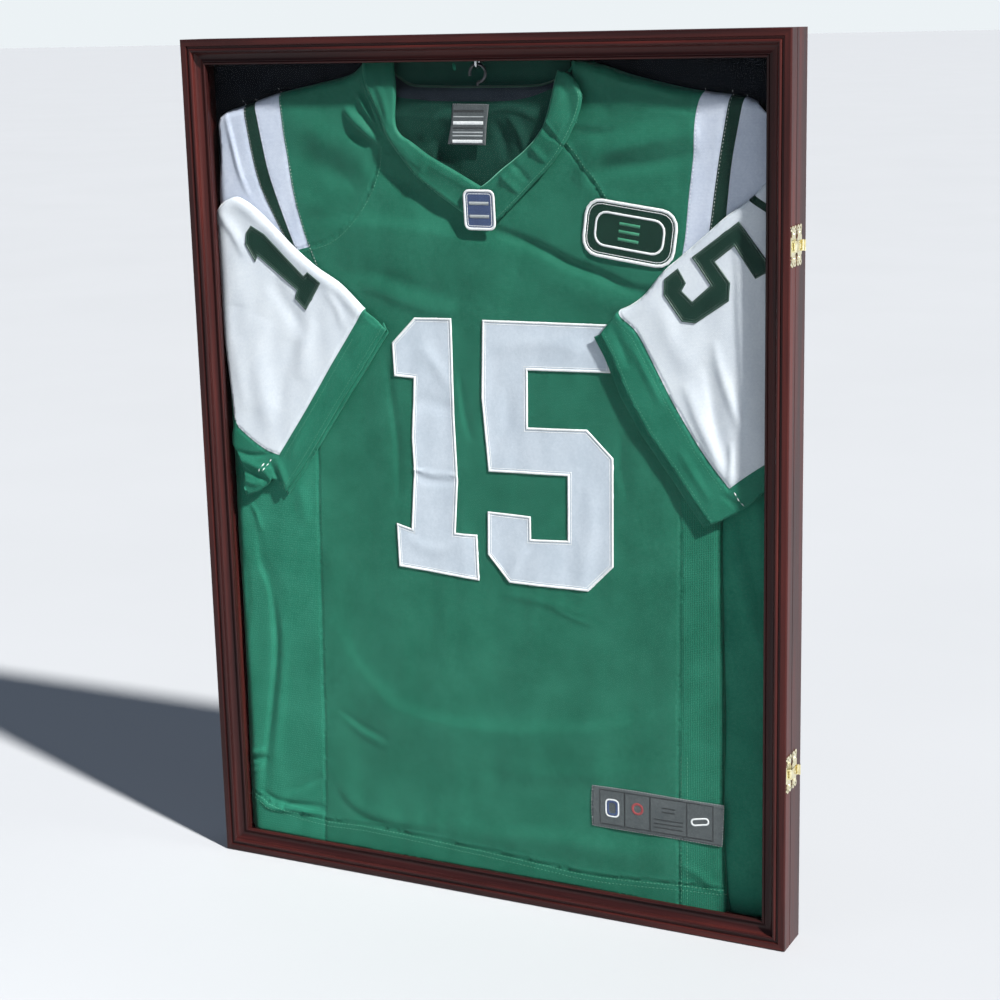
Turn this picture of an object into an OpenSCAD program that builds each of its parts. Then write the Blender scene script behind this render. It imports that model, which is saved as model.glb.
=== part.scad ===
// Wall display frame for a sports jersey. A shallow wooden body is closed by a hinged,
// glazed door with a moulded front. The jersey hangs inside on a hook in the top rail.
// +X is to the viewer's right, +Z is up and the front faces -Y. The back lies in the plane
// y = 0, and the origin is midway between the two keyhole openings that hang the frame.

/* [Frame] */
// Overall width of body and door
frame_w = 610; // [590:1:700]
// Overall height of body and door
frame_h = 826; // [800:1:900]
// Depth of the body, from the wall to the seam
body_depth = 26; // [24:0.5:40]
// Thickness of the wood of the body's sides
body_wall = 14; // [12:0.5:16]
// Gap between the body and the closed door
seam_gap = 0.6; // [0.5:0.1:1]
// Small chamfer along both edges of the seam
seam_chamfer = 0.5; // [0.2:0.1:0.8]
// Thickness of the hardboard back
back_t = 5; // [4:0.5:6]
// Width of the step that the back sits in
back_rebate = 7; // [6:0.5:8]
// Thickness of the felt glued to the back
felt_t = 1.5; // [1:0.1:2]
// Play around the back, the felt and the glazing
panel_play = 0.5; // [0.2:0.1:1]

/* [Moulding] */
// Thickness of the door
door_t = 14.4; // [14:0.1:18]
// Face width of the moulding
moulding_w = 24; // [24:0.5:30]
// Width of the flat outer band
band_w = 6.4; // [5:0.1:7]
// Rounding of the outer front edge
edge_r = 1.5; // [0.5:0.1:2]
// Depth of the groove beside the band
groove_depth = 2; // [1:0.1:3]
// Radius of the half-round bead
bead_r = 1.9; // [1.5:0.1:2.2]
// Depth of the step from the band's face to the start of the cove
step_depth = 4.2; // [3.5:0.1:5]
// Radius of the hollow cove
cove_r = 6.1; // [5.5:0.1:6.5]
// Radius of the thin bead around the sight edge
lip_bead_r = 1.1; // [0.8:0.1:1.2]

/* [Glazing] */
// Depth of the glazing's front below the moulding's face
glazing_depth = 9; // [8.5:0.1:9.5]
// Width of the wood behind the moulding, outside the glazing rebate
door_back_w = 16; // [15:0.5:17]
// Thickness of the clear acrylic
glazing_t = 2.5; // [2:0.1:3]
// Width of a glazing bead
glazing_bead_w = 6.2; // [5:0.1:6.5]
// Thickness of a glazing bead
glazing_bead_t = 2.4; // [1.5:0.1:2.4]

/* [Hinges] */
// Height of a hinge leaf
hinge_h = 50; // [40:1:60]
// Thickness of a hinge leaf
leaf_t = 1; // [0.8:0.1:1.2]
// How far a leaf reaches onto the wood
leaf_reach = 12; // [11:0.5:13]
// Outside radius of the barrel
barrel_r = 3; // [2.8:0.1:3.5]
// Radius of the hinge pin
hinge_pin_r = 1.2; // [1:0.1:1.4]
// Height of the lowest hinge's centre above the bottom
hinge_low = 110; // [80:5:200]

/* [Latches] */
// Height of the lower latch's centre above the bottom
latch_low = 171; // [120:1:220]
// Height of the upper latch's centre above the bottom
latch_high = 645; // [600:1:700]
// Width of a latch plate, front to back
plate_w = 12.6; // [12:0.1:13]
// Thickness of a latch plate
plate_t = 0.8; // [0.6:0.1:1]
// Height of the hasp
hasp_h = 9.5; // [8:0.5:12]
// Thickness of the hasp's sheet
hasp_t = 0.7; // [0.5:0.1:0.9]
// Outside radius of the hasp's knuckle
knuckle_r = 1.3; // [1.2:0.1:1.5]
// Radius of the hasp's pin
hasp_pin_r = 0.6; // [0.5:0.05:0.7]

/* [Hanging] */
// Distance of the keyholes' entry centres below the top
hang_drop = 42; // [40:1:60]
// Distance between the two keyholes
hang_spacing = 406.4; // [300:0.1:450]
// Radius of a keyhole's entry
keyhole_r = 4.5; // [4:0.1:5]
// Half the width of a keyhole's slot
keyslot_r = 2.1; // [1.8:0.1:2.4]
// Length of the slot above the entry's centre
keyslot_rise = 13; // [10:1:15]
// Radius of the wire of the screw hook in the top rail
hook_wire_r = 1.25; // [1:0.05:1.5]
// Centre-line radius of the screw hook's bend
hook_bend_r = 3.6; // [3.4:0.1:4]
// Half the length of the coat hanger's bar
hanger_reach = 195; // [150:5:210]

/* [Jersey] */
// Height of the hem above the frame's bottom
hem_height = 17; // [15:1:60]
// Half the width of the jersey across the folded sleeves
shoulder_reach = 284; // [270:1:284]
// Half the width of the neck opening
neck_reach = 84; // [75:1:90]
// Height of the point of the V neck above the frame's bottom
neck_point = 688; // [680:1:700]
// Width of the knitted collar band
collar_w = 26; // [20:1:30]

/* [Hidden] */
$fn = 48;
eps = 0.01;

top_z = hang_drop;
bottom_z = top_z - frame_h;
mid_z = (top_z + bottom_z) / 2;
side_x = frame_w / 2;

door_back_y = -body_depth - seam_gap;
door_front_y = door_back_y - door_t;
seam_y = -body_depth - seam_gap / 2;

back_w = frame_w - 2 * back_rebate;
back_h = frame_h - 2 * back_rebate;
felt_front_y = -back_t - felt_t;
inner_w = frame_w - 2 * body_wall;
inner_h = frame_h - 2 * body_wall;

step_u = band_w + groove_depth + 2 * bead_r + 0.4;
lip_u = moulding_w - 1.5;
lip_f = door_t - step_depth - 2.3;
cove_centre = [step_u + 5.4, door_t - 0.9];
glazing_w = frame_w - 2 * door_back_w;
glazing_h = frame_h - 2 * door_back_w;
glazing_front_y = door_front_y + glazing_depth;
glazing_back_y = glazing_front_y + glazing_t;
bead_inset = door_back_w + 0.3;

hinge_axis = [-side_x - barrel_r - 0.3, seam_y];
hinge_heights = [hinge_low, frame_h / 2, frame_h - hinge_low];
hinge_bore_r = hinge_pin_r + 0.05;
knuckle_gap = 0.3;
knuckle_h = (hinge_h - 2 * knuckle_gap) / 3;
leaf_gap = 0.4;
leaf_proud = (seam_gap - leaf_gap) / 2;
leaf_clear_r = barrel_r + 0.3;
mortise_play = 0.15;
hinge_screw_inset = leaf_reach / 2;
hinge_screw_pitch = 16;
hinge_screw_r = 1.1;
hinge_screw_head_r = 2;
hinge_screw_length = 9;
pilot_play = 0.05;

latch_heights = [latch_low, latch_high];
door_plate_y = door_back_y - 0.8 - plate_w / 2;
catch_plate_y = -body_depth + 0.8 + plate_w / 2;
plate_x = side_x + plate_t;
hasp_axis = [plate_x + knuckle_r + 0.2, door_plate_y - 0.6];
hasp_bore_r = hasp_pin_r + 0.05;
hasp_knuckle_h = 6;
ear_h = 1.6;
ear_gap = 0.2;
hasp_run = 16;
hasp_curl_r = 3;
hasp_roll_r = 0.8;
lug_r = 1.7;
lug_h = 1.5;
lug_y = -body_depth + 2.6;
nail_r = 0.6;
nail_head_r = 1.3;
nail_length = 8;
nail_offset = 10.6;

keyhole_plate_w = 17;
keyhole_plate_h = 38;
keyhole_plate_t = 1;
keyhole_plate_centre = -hang_drop + 8 + keyslot_rise / 2;
keyhole_screw_offset = 15;
keyhole_pocket_depth = 4;
keyhole_screw_length = 3.6;

back_screw_inset = back_rebate + 3.5;
back_screw_r = 1.4;
back_screw_head_r = 2.8;
back_screw_length = 16;
brad_r = 0.5;
brad_length = 8;

hook_y = -11.2;
hook_low_z = top_z - body_wall - 12;
hanger_y = hook_y - hook_bend_r;
hanger_wire_r = 1.3;
hanger_loop_r = 8;
hanger_loop_z = hook_low_z - hook_bend_r + hook_wire_r + hanger_wire_r + 0.05 - hanger_loop_r;
hanger_top_z = hanger_loop_z - hanger_loop_r - 6;
hanger_bar_t = 4.6;
hanger_bar_h = 15;
hanger_drop = 24;
hanger_stem_depth = 8;

jersey_front_y = -20.5;
jersey_back_y = felt_front_y - 0.5;
pocket_front_y = hanger_y - hanger_bar_t / 2 - 0.7;
pocket_back_y = hanger_y + hanger_bar_t / 2 + 0.7;
pocket_reach = hanger_reach + 20;
pocket_low = 700;
shoulder_z = 774;
neck_side_z = 786;
trunk_reach = 280;
side_fold_x = 238;
side_layer_y = -12;
underarm_z = 600;
sleeve_front_y = -26;
sleeve_back_y = -21;
collar_front_y = -23.2;
collar_back_y = jersey_front_y - 0.2;

wood_colour = [0.24, 0.13, 0.12];
brass_colour = [0.83, 0.72, 0.42];
steel_colour = [0.72, 0.73, 0.75];
jersey_colour = [0.13, 0.45, 0.32];
sleeve_colour = [0.86, 0.87, 0.92];
trim_colour = [0.08, 0.2, 0.15];

EDGES = ["bottom", "left", "top", "right"];
HINGES = ["lower", "middle", "upper"];
LATCHES = ["lower", "upper"];

// ---- Placing helpers ----

// Extrudes a front-view outline between two depths; its y is the height above the bottom.
module front_slab(front_y, back_y) {
    translate([0, back_y, bottom_z])
        rotate([90, 0, 0])
            linear_extrude(back_y - front_y)
                children();
}

// Puts a cylinder's axis along Y, starting at the given depth and running to the front.
module bore_forward(x, back_y, z, length, r) {
    translate([x, back_y, z])
        rotate([90, 0, 0])
            cylinder(h = length, r = r);
}

// Turns a part drawn for the bottom edge to another edge, given in quarter turns.
module on_edge(quarter, back_y) {
    span = quarter % 2 == 0 ? frame_h : frame_w;
    translate([0, back_y, mid_z])
        rotate([0, 90 * quarter, 0])
            translate([0, 0, -span / 2])
                rotate([90, 0, 0])
                    children();
}

function edge_length(quarter) = quarter % 2 == 0 ? frame_w : frame_h;

// A length of section with 45 degree mitres. In the section, x runs from the outer edge
// to the inside and y from the back to the front.
module mitred_length(length, width, depth, inset = 0) {
    half = length / 2 - inset;
    intersection() {
        translate([-half, 0, 0])
            rotate([90, 0, 90])
                linear_extrude(2 * half)
                    children();
        translate([0, 0, -eps])
            linear_extrude(depth + 2 * eps)
                polygon([
                    [-half, inset], [half, inset],
                    [half - width, inset + width], [-half + width, inset + width]
                ]);
    }
}

// ---- Sections ----

module body_section() {
    polygon([
        [0, 0], [back_rebate, 0], [back_rebate, back_t], [body_wall, back_t],
        [body_wall, body_depth], [seam_chamfer, body_depth], [0, body_depth - seam_chamfer]
    ]);
}

module moulding_stock() {
    groove_f = door_t - groove_depth;
    polygon([
        [seam_chamfer, 0], [door_back_w, 0], [door_back_w, door_t - glazing_depth],
        [moulding_w, door_t - glazing_depth], [moulding_w, lip_f], [lip_u - lip_bead_r, lip_f],
        [step_u, door_t - step_depth], [step_u, groove_f], [band_w + 0.4, groove_f],
        [band_w, door_t - 0.3], [band_w - 0.3, door_t], [edge_r, door_t],
        [0, door_t - edge_r], [0, seam_chamfer]
    ]);
    translate([edge_r, door_t - edge_r])
        circle(edge_r);
}

module moulding_section() {
    difference() {
        moulding_stock();
        translate(cove_centre)
            circle(cove_r);
    }
    translate([band_w + groove_depth + bead_r + 0.3, door_t - groove_depth - 0.1])
        circle(bead_r);
    translate([lip_u, lip_f])
        circle(lip_bead_r);
}

// ---- Wooden members ----

module case_edge(quarter) {
    on_edge(quarter, 0)
        mitred_length(edge_length(quarter), body_wall, body_depth)
            body_section();
}

module door_edge(quarter) {
    on_edge(quarter, door_back_y)
        mitred_length(edge_length(quarter), moulding_w, door_t)
            moulding_section();
}

module case_rail_bottom() {
    color(wood_colour)
        difference() {
            case_edge(0);
            back_screw_holes();
        }
}

module case_side_left() {
    color(wood_colour)
        difference() {
            case_edge(1);
            back_screw_holes();
            hinge_mortises(-body_depth - eps, -body_depth + leaf_t - leaf_proud);
            hinge_screw_shanks(-body_depth + leaf_t - leaf_proud, 1, pilot_play);
        }
}

module case_rail_top() {
    color(wood_colour)
        difference() {
            case_edge(2);
            back_screw_holes();
            translate([0, hook_y, hook_low_z])
                cylinder(h = top_z - 2 - hook_low_z, r = hook_wire_r + pilot_play);
        }
}

module case_side_right() {
    color(wood_colour)
        difference() {
            case_edge(3);
            back_screw_holes();
            latch_nail_shanks(catch_plate_y, pilot_play);
        }
}

module door_rail_bottom() {
    color(wood_colour)
        difference() {
            door_edge(0);
            glazing_brad_shanks(pilot_play);
        }
}

module door_stile_left() {
    color(wood_colour)
        difference() {
            door_edge(1);
            glazing_brad_shanks(pilot_play);
            hinge_mortises(door_back_y - leaf_t + leaf_proud, door_back_y + eps);
            hinge_screw_shanks(door_back_y - leaf_t + leaf_proud, -1, pilot_play);
        }
}

module door_rail_top() {
    color(wood_colour)
        difference() {
            door_edge(2);
            glazing_brad_shanks(pilot_play);
        }
}

module door_stile_right() {
    color(wood_colour)
        difference() {
            door_edge(3);
            glazing_brad_shanks(pilot_play);
            latch_nail_shanks(door_plate_y, pilot_play);
        }
}

// ---- Back, felt and their screws ----

// Screw places along one edge, as distances from that edge's middle.
function back_screw_places(quarter) =
    quarter % 2 == 0 ? [-225, -75, 75, 225] : [-330, -110, 110, 330];

module at_back_screws() {
    for (quarter = [0:3])
        on_edge(quarter, 0)
            for (place = back_screw_places(quarter))
                translate([place, back_screw_inset, 0])
                    children();
}

module back_screw_holes() {
    at_back_screws()
        translate([0, 0, -eps])
            cylinder(h = back_screw_length + 0.5, r = back_screw_r + pilot_play);
}

module back_screw() {
    cylinder(h = back_screw_head_r - back_screw_r, r1 = back_screw_head_r, r2 = back_screw_r);
    cylinder(h = back_screw_length, r = back_screw_r);
}

module back_panel() {
    color([0.45, 0.33, 0.22])
        difference() {
            front_slab(-back_t, 0)
                translate([-back_w / 2 + panel_play, back_rebate + panel_play])
                    square([back_w - 2 * panel_play, back_h - 2 * panel_play]);
            at_back_screws()
                translate([0, 0, -eps]) {
                    cylinder(
                        h = back_screw_head_r - back_screw_r + eps,
                        r1 = back_screw_head_r + pilot_play,
                        r2 = back_screw_r + pilot_play
                    );
                    cylinder(h = back_t + 1, r = back_screw_r + pilot_play);
                }
            at_keyholes() {
                keyhole_plate_blank(pilot_play, keyhole_plate_t + pilot_play);
                keyhole_cut(keyhole_pocket_depth, 1.5);
                keyhole_screw_shanks(pilot_play);
            }
        }
}

module back_panel_screws() {
    color(steel_colour)
        at_back_screws()
            back_screw();
}

module felt_backing() {
    color([0.09, 0.11, 0.13])
        front_slab(felt_front_y, -back_t)
            translate([-inner_w / 2 + panel_play, body_wall + panel_play])
                square([inner_w - 2 * panel_play, inner_h - 2 * panel_play]);
}

// ---- Keyhole plates ----

// Local frame: x across, y up from the entry's centre, z forward from the back plane.
module at_keyholes() {
    for (side = [-1, 1])
        at_keyhole(side)
            children();
}

module at_keyhole(side) {
    translate([side * hang_spacing / 2, 0, 0])
        rotate([90, 0, 0])
            children();
}

module keyhole_plate_blank(play, depth) {
    end_y = keyhole_plate_h / 2 - keyhole_plate_w / 2;
    middle_y = keyslot_rise / 2;
    translate([0, middle_y, -eps]) {
        for (end = [-1, 1])
            translate([0, end * end_y, 0])
                cylinder(h = depth + eps, r = keyhole_plate_w / 2 + play);
        translate([-keyhole_plate_w / 2 - play, -end_y, 0])
            cube([keyhole_plate_w + 2 * play, 2 * end_y, depth + eps]);
    }
}

// The entry hole and the slot above it, widened by play for the pocket behind.
module keyhole_cut(depth, play) {
    translate([0, 0, -2 * eps]) {
        cylinder(h = depth + 4 * eps, r = keyhole_r + play);
        translate([0, keyslot_rise, 0])
            cylinder(h = depth + 4 * eps, r = keyslot_r + play);
        translate([-keyslot_r - play, 0, 0])
            cube([2 * (keyslot_r + play), keyslot_rise, depth + 4 * eps]);
    }
}

module keyhole_screw_shanks(play) {
    for (end = [-1, 1])
        translate([0, keyslot_rise / 2 + end * keyhole_screw_offset, 0])
            cylinder(h = keyhole_screw_length + play, r = 1 + play);
}

module keyhole_plate(side) {
    color(steel_colour)
        at_keyhole(side)
            difference() {
                translate([0, 0, eps])
                    keyhole_plate_blank(0, keyhole_plate_t - eps);
                keyhole_cut(keyhole_plate_t, 0);
                keyhole_screw_shanks(pilot_play);
                for (end = [-1, 1])
                    translate([0, keyslot_rise / 2 + end * keyhole_screw_offset, -eps])
                        cylinder(h = 0.8, r1 = 1.85, r2 = 1.05);
            }
}

module keyhole_plate_left() {
    keyhole_plate(-1);
}

module keyhole_plate_right() {
    keyhole_plate(1);
}

module keyhole_plate_screws() {
    color(steel_colour)
        at_keyholes()
            for (end = [-1, 1])
                translate([0, keyslot_rise / 2 + end * keyhole_screw_offset, 0]) {
                    cylinder(h = 0.75, r1 = 1.75, r2 = 1);
                    cylinder(h = keyhole_screw_length, r = 1);
                }
}

// ---- Hinges ----

module hinge_mortises(front_y, back_y) {
    for (height = hinge_heights)
        translate([-side_x - 1, front_y, bottom_z + height - hinge_h / 2 - mortise_play])
            cube([leaf_reach + 1 + mortise_play, back_y - front_y, hinge_h + 2 * mortise_play]);
}

// Screw shanks from a leaf's inner face into the wood; direction 1 is to the back.
module hinge_screw_shanks(start_y, direction, play) {
    for (height = hinge_heights, row = [-1:1])
        translate([
            -side_x + hinge_screw_inset, start_y, bottom_z + height + row * hinge_screw_pitch
        ])
            rotate([-90 * direction, 0, 0])
                translate([0, 0, -leaf_t])
                    cylinder(h = hinge_screw_length + leaf_t + play, r = hinge_screw_r + play);
}

module hinge_screw_heads(start_y, direction, play) {
    for (height = hinge_heights, row = [-1:1])
        translate([
            -side_x + hinge_screw_inset, start_y, bottom_z + height + row * hinge_screw_pitch
        ])
            rotate([-90 * direction, 0, 0])
                translate([0, 0, -leaf_t])
                    cylinder(
                        h = hinge_screw_head_r - hinge_screw_r,
                        r1 = hinge_screw_head_r + play,
                        r2 = hinge_screw_r + play
                    );
}

// The three knuckles of a barrel, from the bottom up, numbered 0 to 2.
module knuckles(height, numbers, r, grow = 0) {
    for (number = numbers)
        translate([
            hinge_axis[0], hinge_axis[1],
            bottom_z + height - hinge_h / 2 + number * (knuckle_h + knuckle_gap) - grow
        ])
            cylinder(h = knuckle_h + 2 * grow, r = r);
}

module hinge_leaf(height, own, other, leaf_y, inner_y, direction) {
    difference() {
        union() {
            difference() {
                translate([hinge_axis[0], leaf_y, bottom_z + height - hinge_h / 2])
                    cube([-side_x + leaf_reach - hinge_axis[0], leaf_t, hinge_h]);
                knuckles(height, other, leaf_clear_r, knuckle_gap);
            }
            knuckles(height, own, barrel_r);
        }
        translate([hinge_axis[0], hinge_axis[1], bottom_z + height - hinge_h])
            cylinder(h = 2 * hinge_h, r = hinge_bore_r);
        hinge_screw_shanks(inner_y, direction, pilot_play);
        hinge_screw_heads(inner_y, direction, pilot_play);
    }
}

module case_leaf(number) {
    color(brass_colour)
        hinge_leaf(
            hinge_heights[number], [0, 2], [1],
            seam_y + leaf_gap / 2, seam_y + leaf_gap / 2 + leaf_t, 1
        );
}

module door_leaf(number) {
    color(brass_colour)
        hinge_leaf(
            hinge_heights[number], [1], [0, 2],
            seam_y - leaf_gap / 2 - leaf_t, seam_y - leaf_gap / 2 - leaf_t, -1
        );
}

module hinge_lower_case_leaf() {
    case_leaf(0);
}

module hinge_middle_case_leaf() {
    case_leaf(1);
}

module hinge_upper_case_leaf() {
    case_leaf(2);
}

module hinge_lower_door_leaf() {
    door_leaf(0);
}

module hinge_middle_door_leaf() {
    door_leaf(1);
}

module hinge_upper_door_leaf() {
    door_leaf(2);
}

module hinge_pin(number) {
    cap_h = 1.2;
    color(brass_colour)
        translate([
            hinge_axis[0], hinge_axis[1], bottom_z + hinge_heights[number] - hinge_h / 2
        ]) {
            cylinder(h = hinge_h, r = hinge_pin_r);
            translate([0, 0, -cap_h])
                cylinder(h = cap_h, r = barrel_r - 0.6);
            translate([0, 0, hinge_h])
                cylinder(h = cap_h, r = barrel_r - 0.6);
        }
}

module hinge_lower_pin() {
    hinge_pin(0);
}

module hinge_middle_pin() {
    hinge_pin(1);
}

module hinge_upper_pin() {
    hinge_pin(2);
}

module hinge_case_screws() {
    color(brass_colour) {
        hinge_screw_shanks(seam_y + leaf_gap / 2 + leaf_t, 1, 0);
        hinge_screw_heads(seam_y + leaf_gap / 2 + leaf_t, 1, 0);
    }
}

module hinge_door_screws() {
    color(brass_colour) {
        hinge_screw_shanks(seam_y - leaf_gap / 2 - leaf_t, -1, 0);
        hinge_screw_heads(seam_y - leaf_gap / 2 - leaf_t, -1, 0);
    }
}

// ---- Glazing ----

module clear_panel() {
    color([0.9, 0.95, 1, 0.2])
        front_slab(glazing_front_y, glazing_back_y)
            translate([-glazing_w / 2 + panel_play, door_back_w + panel_play])
                square([glazing_w - 2 * panel_play, glazing_h - 2 * panel_play]);
}

module glazing_bead(quarter) {
    color(wood_colour)
        difference() {
            on_edge(quarter, glazing_back_y + glazing_bead_t)
                mitred_length(
                    edge_length(quarter), glazing_bead_w, glazing_bead_t, bead_inset
                )
                    polygon([
                        [bead_inset, 0], [bead_inset + glazing_bead_w - 1, 0],
                        [bead_inset + glazing_bead_w, 1],
                        [bead_inset + glazing_bead_w, glazing_bead_t],
                        [bead_inset, glazing_bead_t]
                    ]);
            glazing_brad_shanks(pilot_play);
        }
}

module glazing_bead_bottom() {
    glazing_bead(0);
}

module glazing_bead_left() {
    glazing_bead(1);
}

module glazing_bead_top() {
    glazing_bead(2);
}

module glazing_bead_right() {
    glazing_bead(3);
}

// Brads run flat through the beads into the wood around the glazing.
function brad_places(quarter) = quarter % 2 == 0 ? [-180, 0, 180] : [-300, -100, 100, 300];

module glazing_brad_shanks(play) {
    for (quarter = [0:3])
        on_edge(quarter, glazing_back_y + glazing_bead_t / 2)
            for (place = brad_places(quarter))
                translate([place, bead_inset + 4, 0])
                    rotate([90, 0, 0])
                        translate([0, 0, -play])
                            cylinder(h = brad_length + 2 * play, r = brad_r + play);
}

module glazing_brads() {
    color(steel_colour)
        glazing_brad_shanks(0);
}

// ---- Latches ----

// Plate outline, with x front to back and y up. The seam lies on the side given by facing.
module latch_plate_outline(facing) {
    lobe_r = 3.1;
    tail_z = 14.6;
    difference() {
        union() {
            square([plate_w, 2 * nail_offset - 1], center = true);
            for (up = [-1, 1]) {
                translate([0, up * (nail_offset - 0.5)])
                    circle(plate_w / 2 - 0.8);
                for (lobe = [-1, 1])
                    translate([lobe * lobe_r, up * tail_z])
                        circle(lobe_r);
            }
        }
        for (up = [-1, 1]) {
            translate([facing * plate_w / 2, up * 8.2])
                circle(2.1);
            translate([-facing * plate_w / 2, up * 9.6])
                circle(1.5);
            translate([0, up * (tail_z + 2.6)])
                circle(1.1);
            for (lobe = [-1, 1])
                translate([lobe * lobe_r, up * tail_z])
                    circle(1);
        }
    }
}

// Puts a plate drawn in the Y-Z plane on the right-hand side of the frame.
module on_right_side(centre_y, height) {
    translate([side_x, centre_y, bottom_z + height])
        rotate([90, 0, 90])
            children();
}

module latch_nail_shanks(centre_y, play) {
    for (height = latch_heights, up = [-1, 1])
        on_right_side(centre_y, height)
            translate([0, up * nail_offset, -nail_length])
                cylinder(h = nail_length + plate_t + play, r = nail_r + play);
}

module latch_nails(centre_y) {
    color(brass_colour) {
        latch_nail_shanks(centre_y, 0);
        for (height = latch_heights, up = [-1, 1])
            on_right_side(centre_y, height)
                translate([0, up * nail_offset, plate_t])
                    cylinder(h = 0.5, r1 = nail_head_r, r2 = nail_head_r - 0.4);
    }
}

module latch_door_nails() {
    latch_nails(door_plate_y);
}

module latch_catch_nails() {
    latch_nails(catch_plate_y);
}

// A length of pin, knuckle or ear around the hasp's axis.
module around_hasp_axis(height, low, high, r) {
    translate([hasp_axis[0], hasp_axis[1], bottom_z + height + low])
        cylinder(h = high - low, r = r);
}

module door_plate(height) {
    low = hasp_knuckle_h / 2 + ear_gap;
    color(brass_colour)
        difference() {
            union() {
                on_right_side(door_plate_y, height)
                    linear_extrude(plate_t)
                        latch_plate_outline(1);
                for (ear = [[low, low + ear_h], [-low - ear_h, -low]]) {
                    around_hasp_axis(height, ear[0], ear[1], knuckle_r);
                    translate([
                        side_x, hasp_axis[1] - knuckle_r, bottom_z + height + ear[0]
                    ])
                        cube([hasp_axis[0] - side_x, 2 * knuckle_r, ear_h]);
                }
            }
            around_hasp_axis(height, -low - 2 * ear_h, low + 2 * ear_h, hasp_bore_r);
            latch_nail_shanks(door_plate_y, pilot_play);
        }
}

module catch_plate(height) {
    color(brass_colour)
        difference() {
            union() {
                on_right_side(catch_plate_y, height)
                    linear_extrude(plate_t)
                        latch_plate_outline(-1);
                on_right_side(lug_y, height)
                    cylinder(h = plate_t + lug_h, r1 = lug_r, r2 = lug_r - 0.5);
            }
            latch_nail_shanks(catch_plate_y, pilot_play);
        }
}

module latch_lower_door_plate() {
    door_plate(latch_low);
}

module latch_upper_door_plate() {
    door_plate(latch_high);
}

module latch_lower_catch_plate() {
    catch_plate(latch_low);
}

module latch_upper_catch_plate() {
    catch_plate(latch_high);
}

module hasp_pin(height) {
    reach = hasp_knuckle_h / 2 + ear_gap + ear_h + 0.3;
    color(brass_colour)
        around_hasp_axis(height, -reach, reach, hasp_pin_r);
}

module latch_lower_pin() {
    hasp_pin(latch_low);
}

module latch_upper_pin() {
    hasp_pin(latch_high);
}

// Side view of the hasp, with x away from the frame and y from the axis to the back.
module hasp_outline() {
    flap_x = knuckle_r - hasp_t;
    translate([flap_x, 0])
        square([hasp_t, hasp_run - hasp_curl_r]);
    translate([knuckle_r + hasp_curl_r - hasp_t, hasp_run - hasp_curl_r]) {
        intersection() {
            difference() {
                circle(hasp_curl_r);
                circle(hasp_curl_r - hasp_t);
            }
            translate([-hasp_curl_r, 0])
                square(hasp_curl_r);
        }
        translate([0, hasp_curl_r - hasp_roll_r])
            circle(hasp_roll_r);
    }
}

module hasp(height) {
    ear_room = hasp_knuckle_h / 2 + ear_gap + ear_h + 0.3;
    color(brass_colour)
        difference() {
            union() {
                translate([hasp_axis[0], hasp_axis[1], bottom_z + height - hasp_h / 2])
                    linear_extrude(hasp_h)
                        hasp_outline();
                around_hasp_axis(
                    height, -hasp_knuckle_h / 2, hasp_knuckle_h / 2, knuckle_r
                );
                on_right_side(lug_y, height)
                    translate([0, 0, hasp_axis[0] + knuckle_r - side_x - hasp_t / 2])
                        cylinder(h = hasp_t, r1 = 2.4, r2 = 1.7);
            }
            around_hasp_axis(height, -hasp_h, hasp_h, hasp_bore_r);
            for (low = [hasp_knuckle_h / 2, -ear_room])
                around_hasp_axis(
                    height, low, low + ear_room - hasp_knuckle_h / 2, knuckle_r + 0.3
                );
        }
}

module latch_lower_hasp() {
    hasp(latch_low);
}

module latch_upper_hasp() {
    hasp(latch_high);
}

// ---- Hook and coat hanger ----

module screw_hook() {
    color(steel_colour)
        translate([0, hook_y, hook_low_z]) {
            cylinder(h = top_z - 3 - hook_low_z, r = hook_wire_r);
            translate([0, 0, top_z - body_wall - 1.2 - hook_low_z])
                cylinder(h = 1.2, r = hook_wire_r + 2);
            translate([0, -hook_bend_r, 0])
                rotate([0, 0, 90])
                    rotate([-90, 0, 0])
                        rotate_extrude(angle = 180)
                            translate([hook_bend_r, 0])
                                circle(hook_wire_r);
            translate([0, -2 * hook_bend_r, 0])
                cylinder(h = 3, r = hook_wire_r);
        }
}

module jersey_hanger_wire() {
    color(steel_colour)
        translate([0, hanger_y, hanger_loop_z]) {
            rotate([90, 0, 0])
                rotate([0, 0, -90])
                    rotate_extrude(angle = 285)
                        translate([hanger_loop_r, 0])
                            circle(hanger_wire_r);
            translate([0, 0, hanger_top_z - hanger_stem_depth - hanger_loop_z])
                cylinder(
                    h = hanger_loop_z - hanger_loop_r - hanger_top_z + hanger_stem_depth,
                    r = hanger_wire_r
                );
        }
}

// The bar's arms slope down from the middle to rounded ends.
module jersey_hanger_bar() {
    bar_top = hanger_top_z - bottom_z;
    end_r = hanger_bar_h / 2;
    end_height = bar_top - hanger_drop - end_r;
    right_end = [for (a = [80:-20:-80]) [hanger_reach + end_r * cos(a), end_height + end_r * sin(a)]];
    left_end = [for (a = [100:20:260]) [-hanger_reach + end_r * cos(a), end_height + end_r * sin(a)]];
    color([0.08, 0.08, 0.09])
        difference() {
            front_slab(hanger_y - hanger_bar_t / 2, hanger_y + hanger_bar_t / 2)
                polygon(concat(
                    [[18, bar_top]], right_end, [[0, bar_top - hanger_bar_h - 4]],
                    [for (i = [len(left_end) - 1:-1:0]) left_end[i]], [[-18, bar_top]]
                ));
            translate([0, hanger_y, hanger_top_z - hanger_stem_depth - 0.1])
                cylinder(h = hanger_stem_depth + 1, r = hanger_wire_r + pilot_play);
        }
}

// ---- Jersey ----

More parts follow.
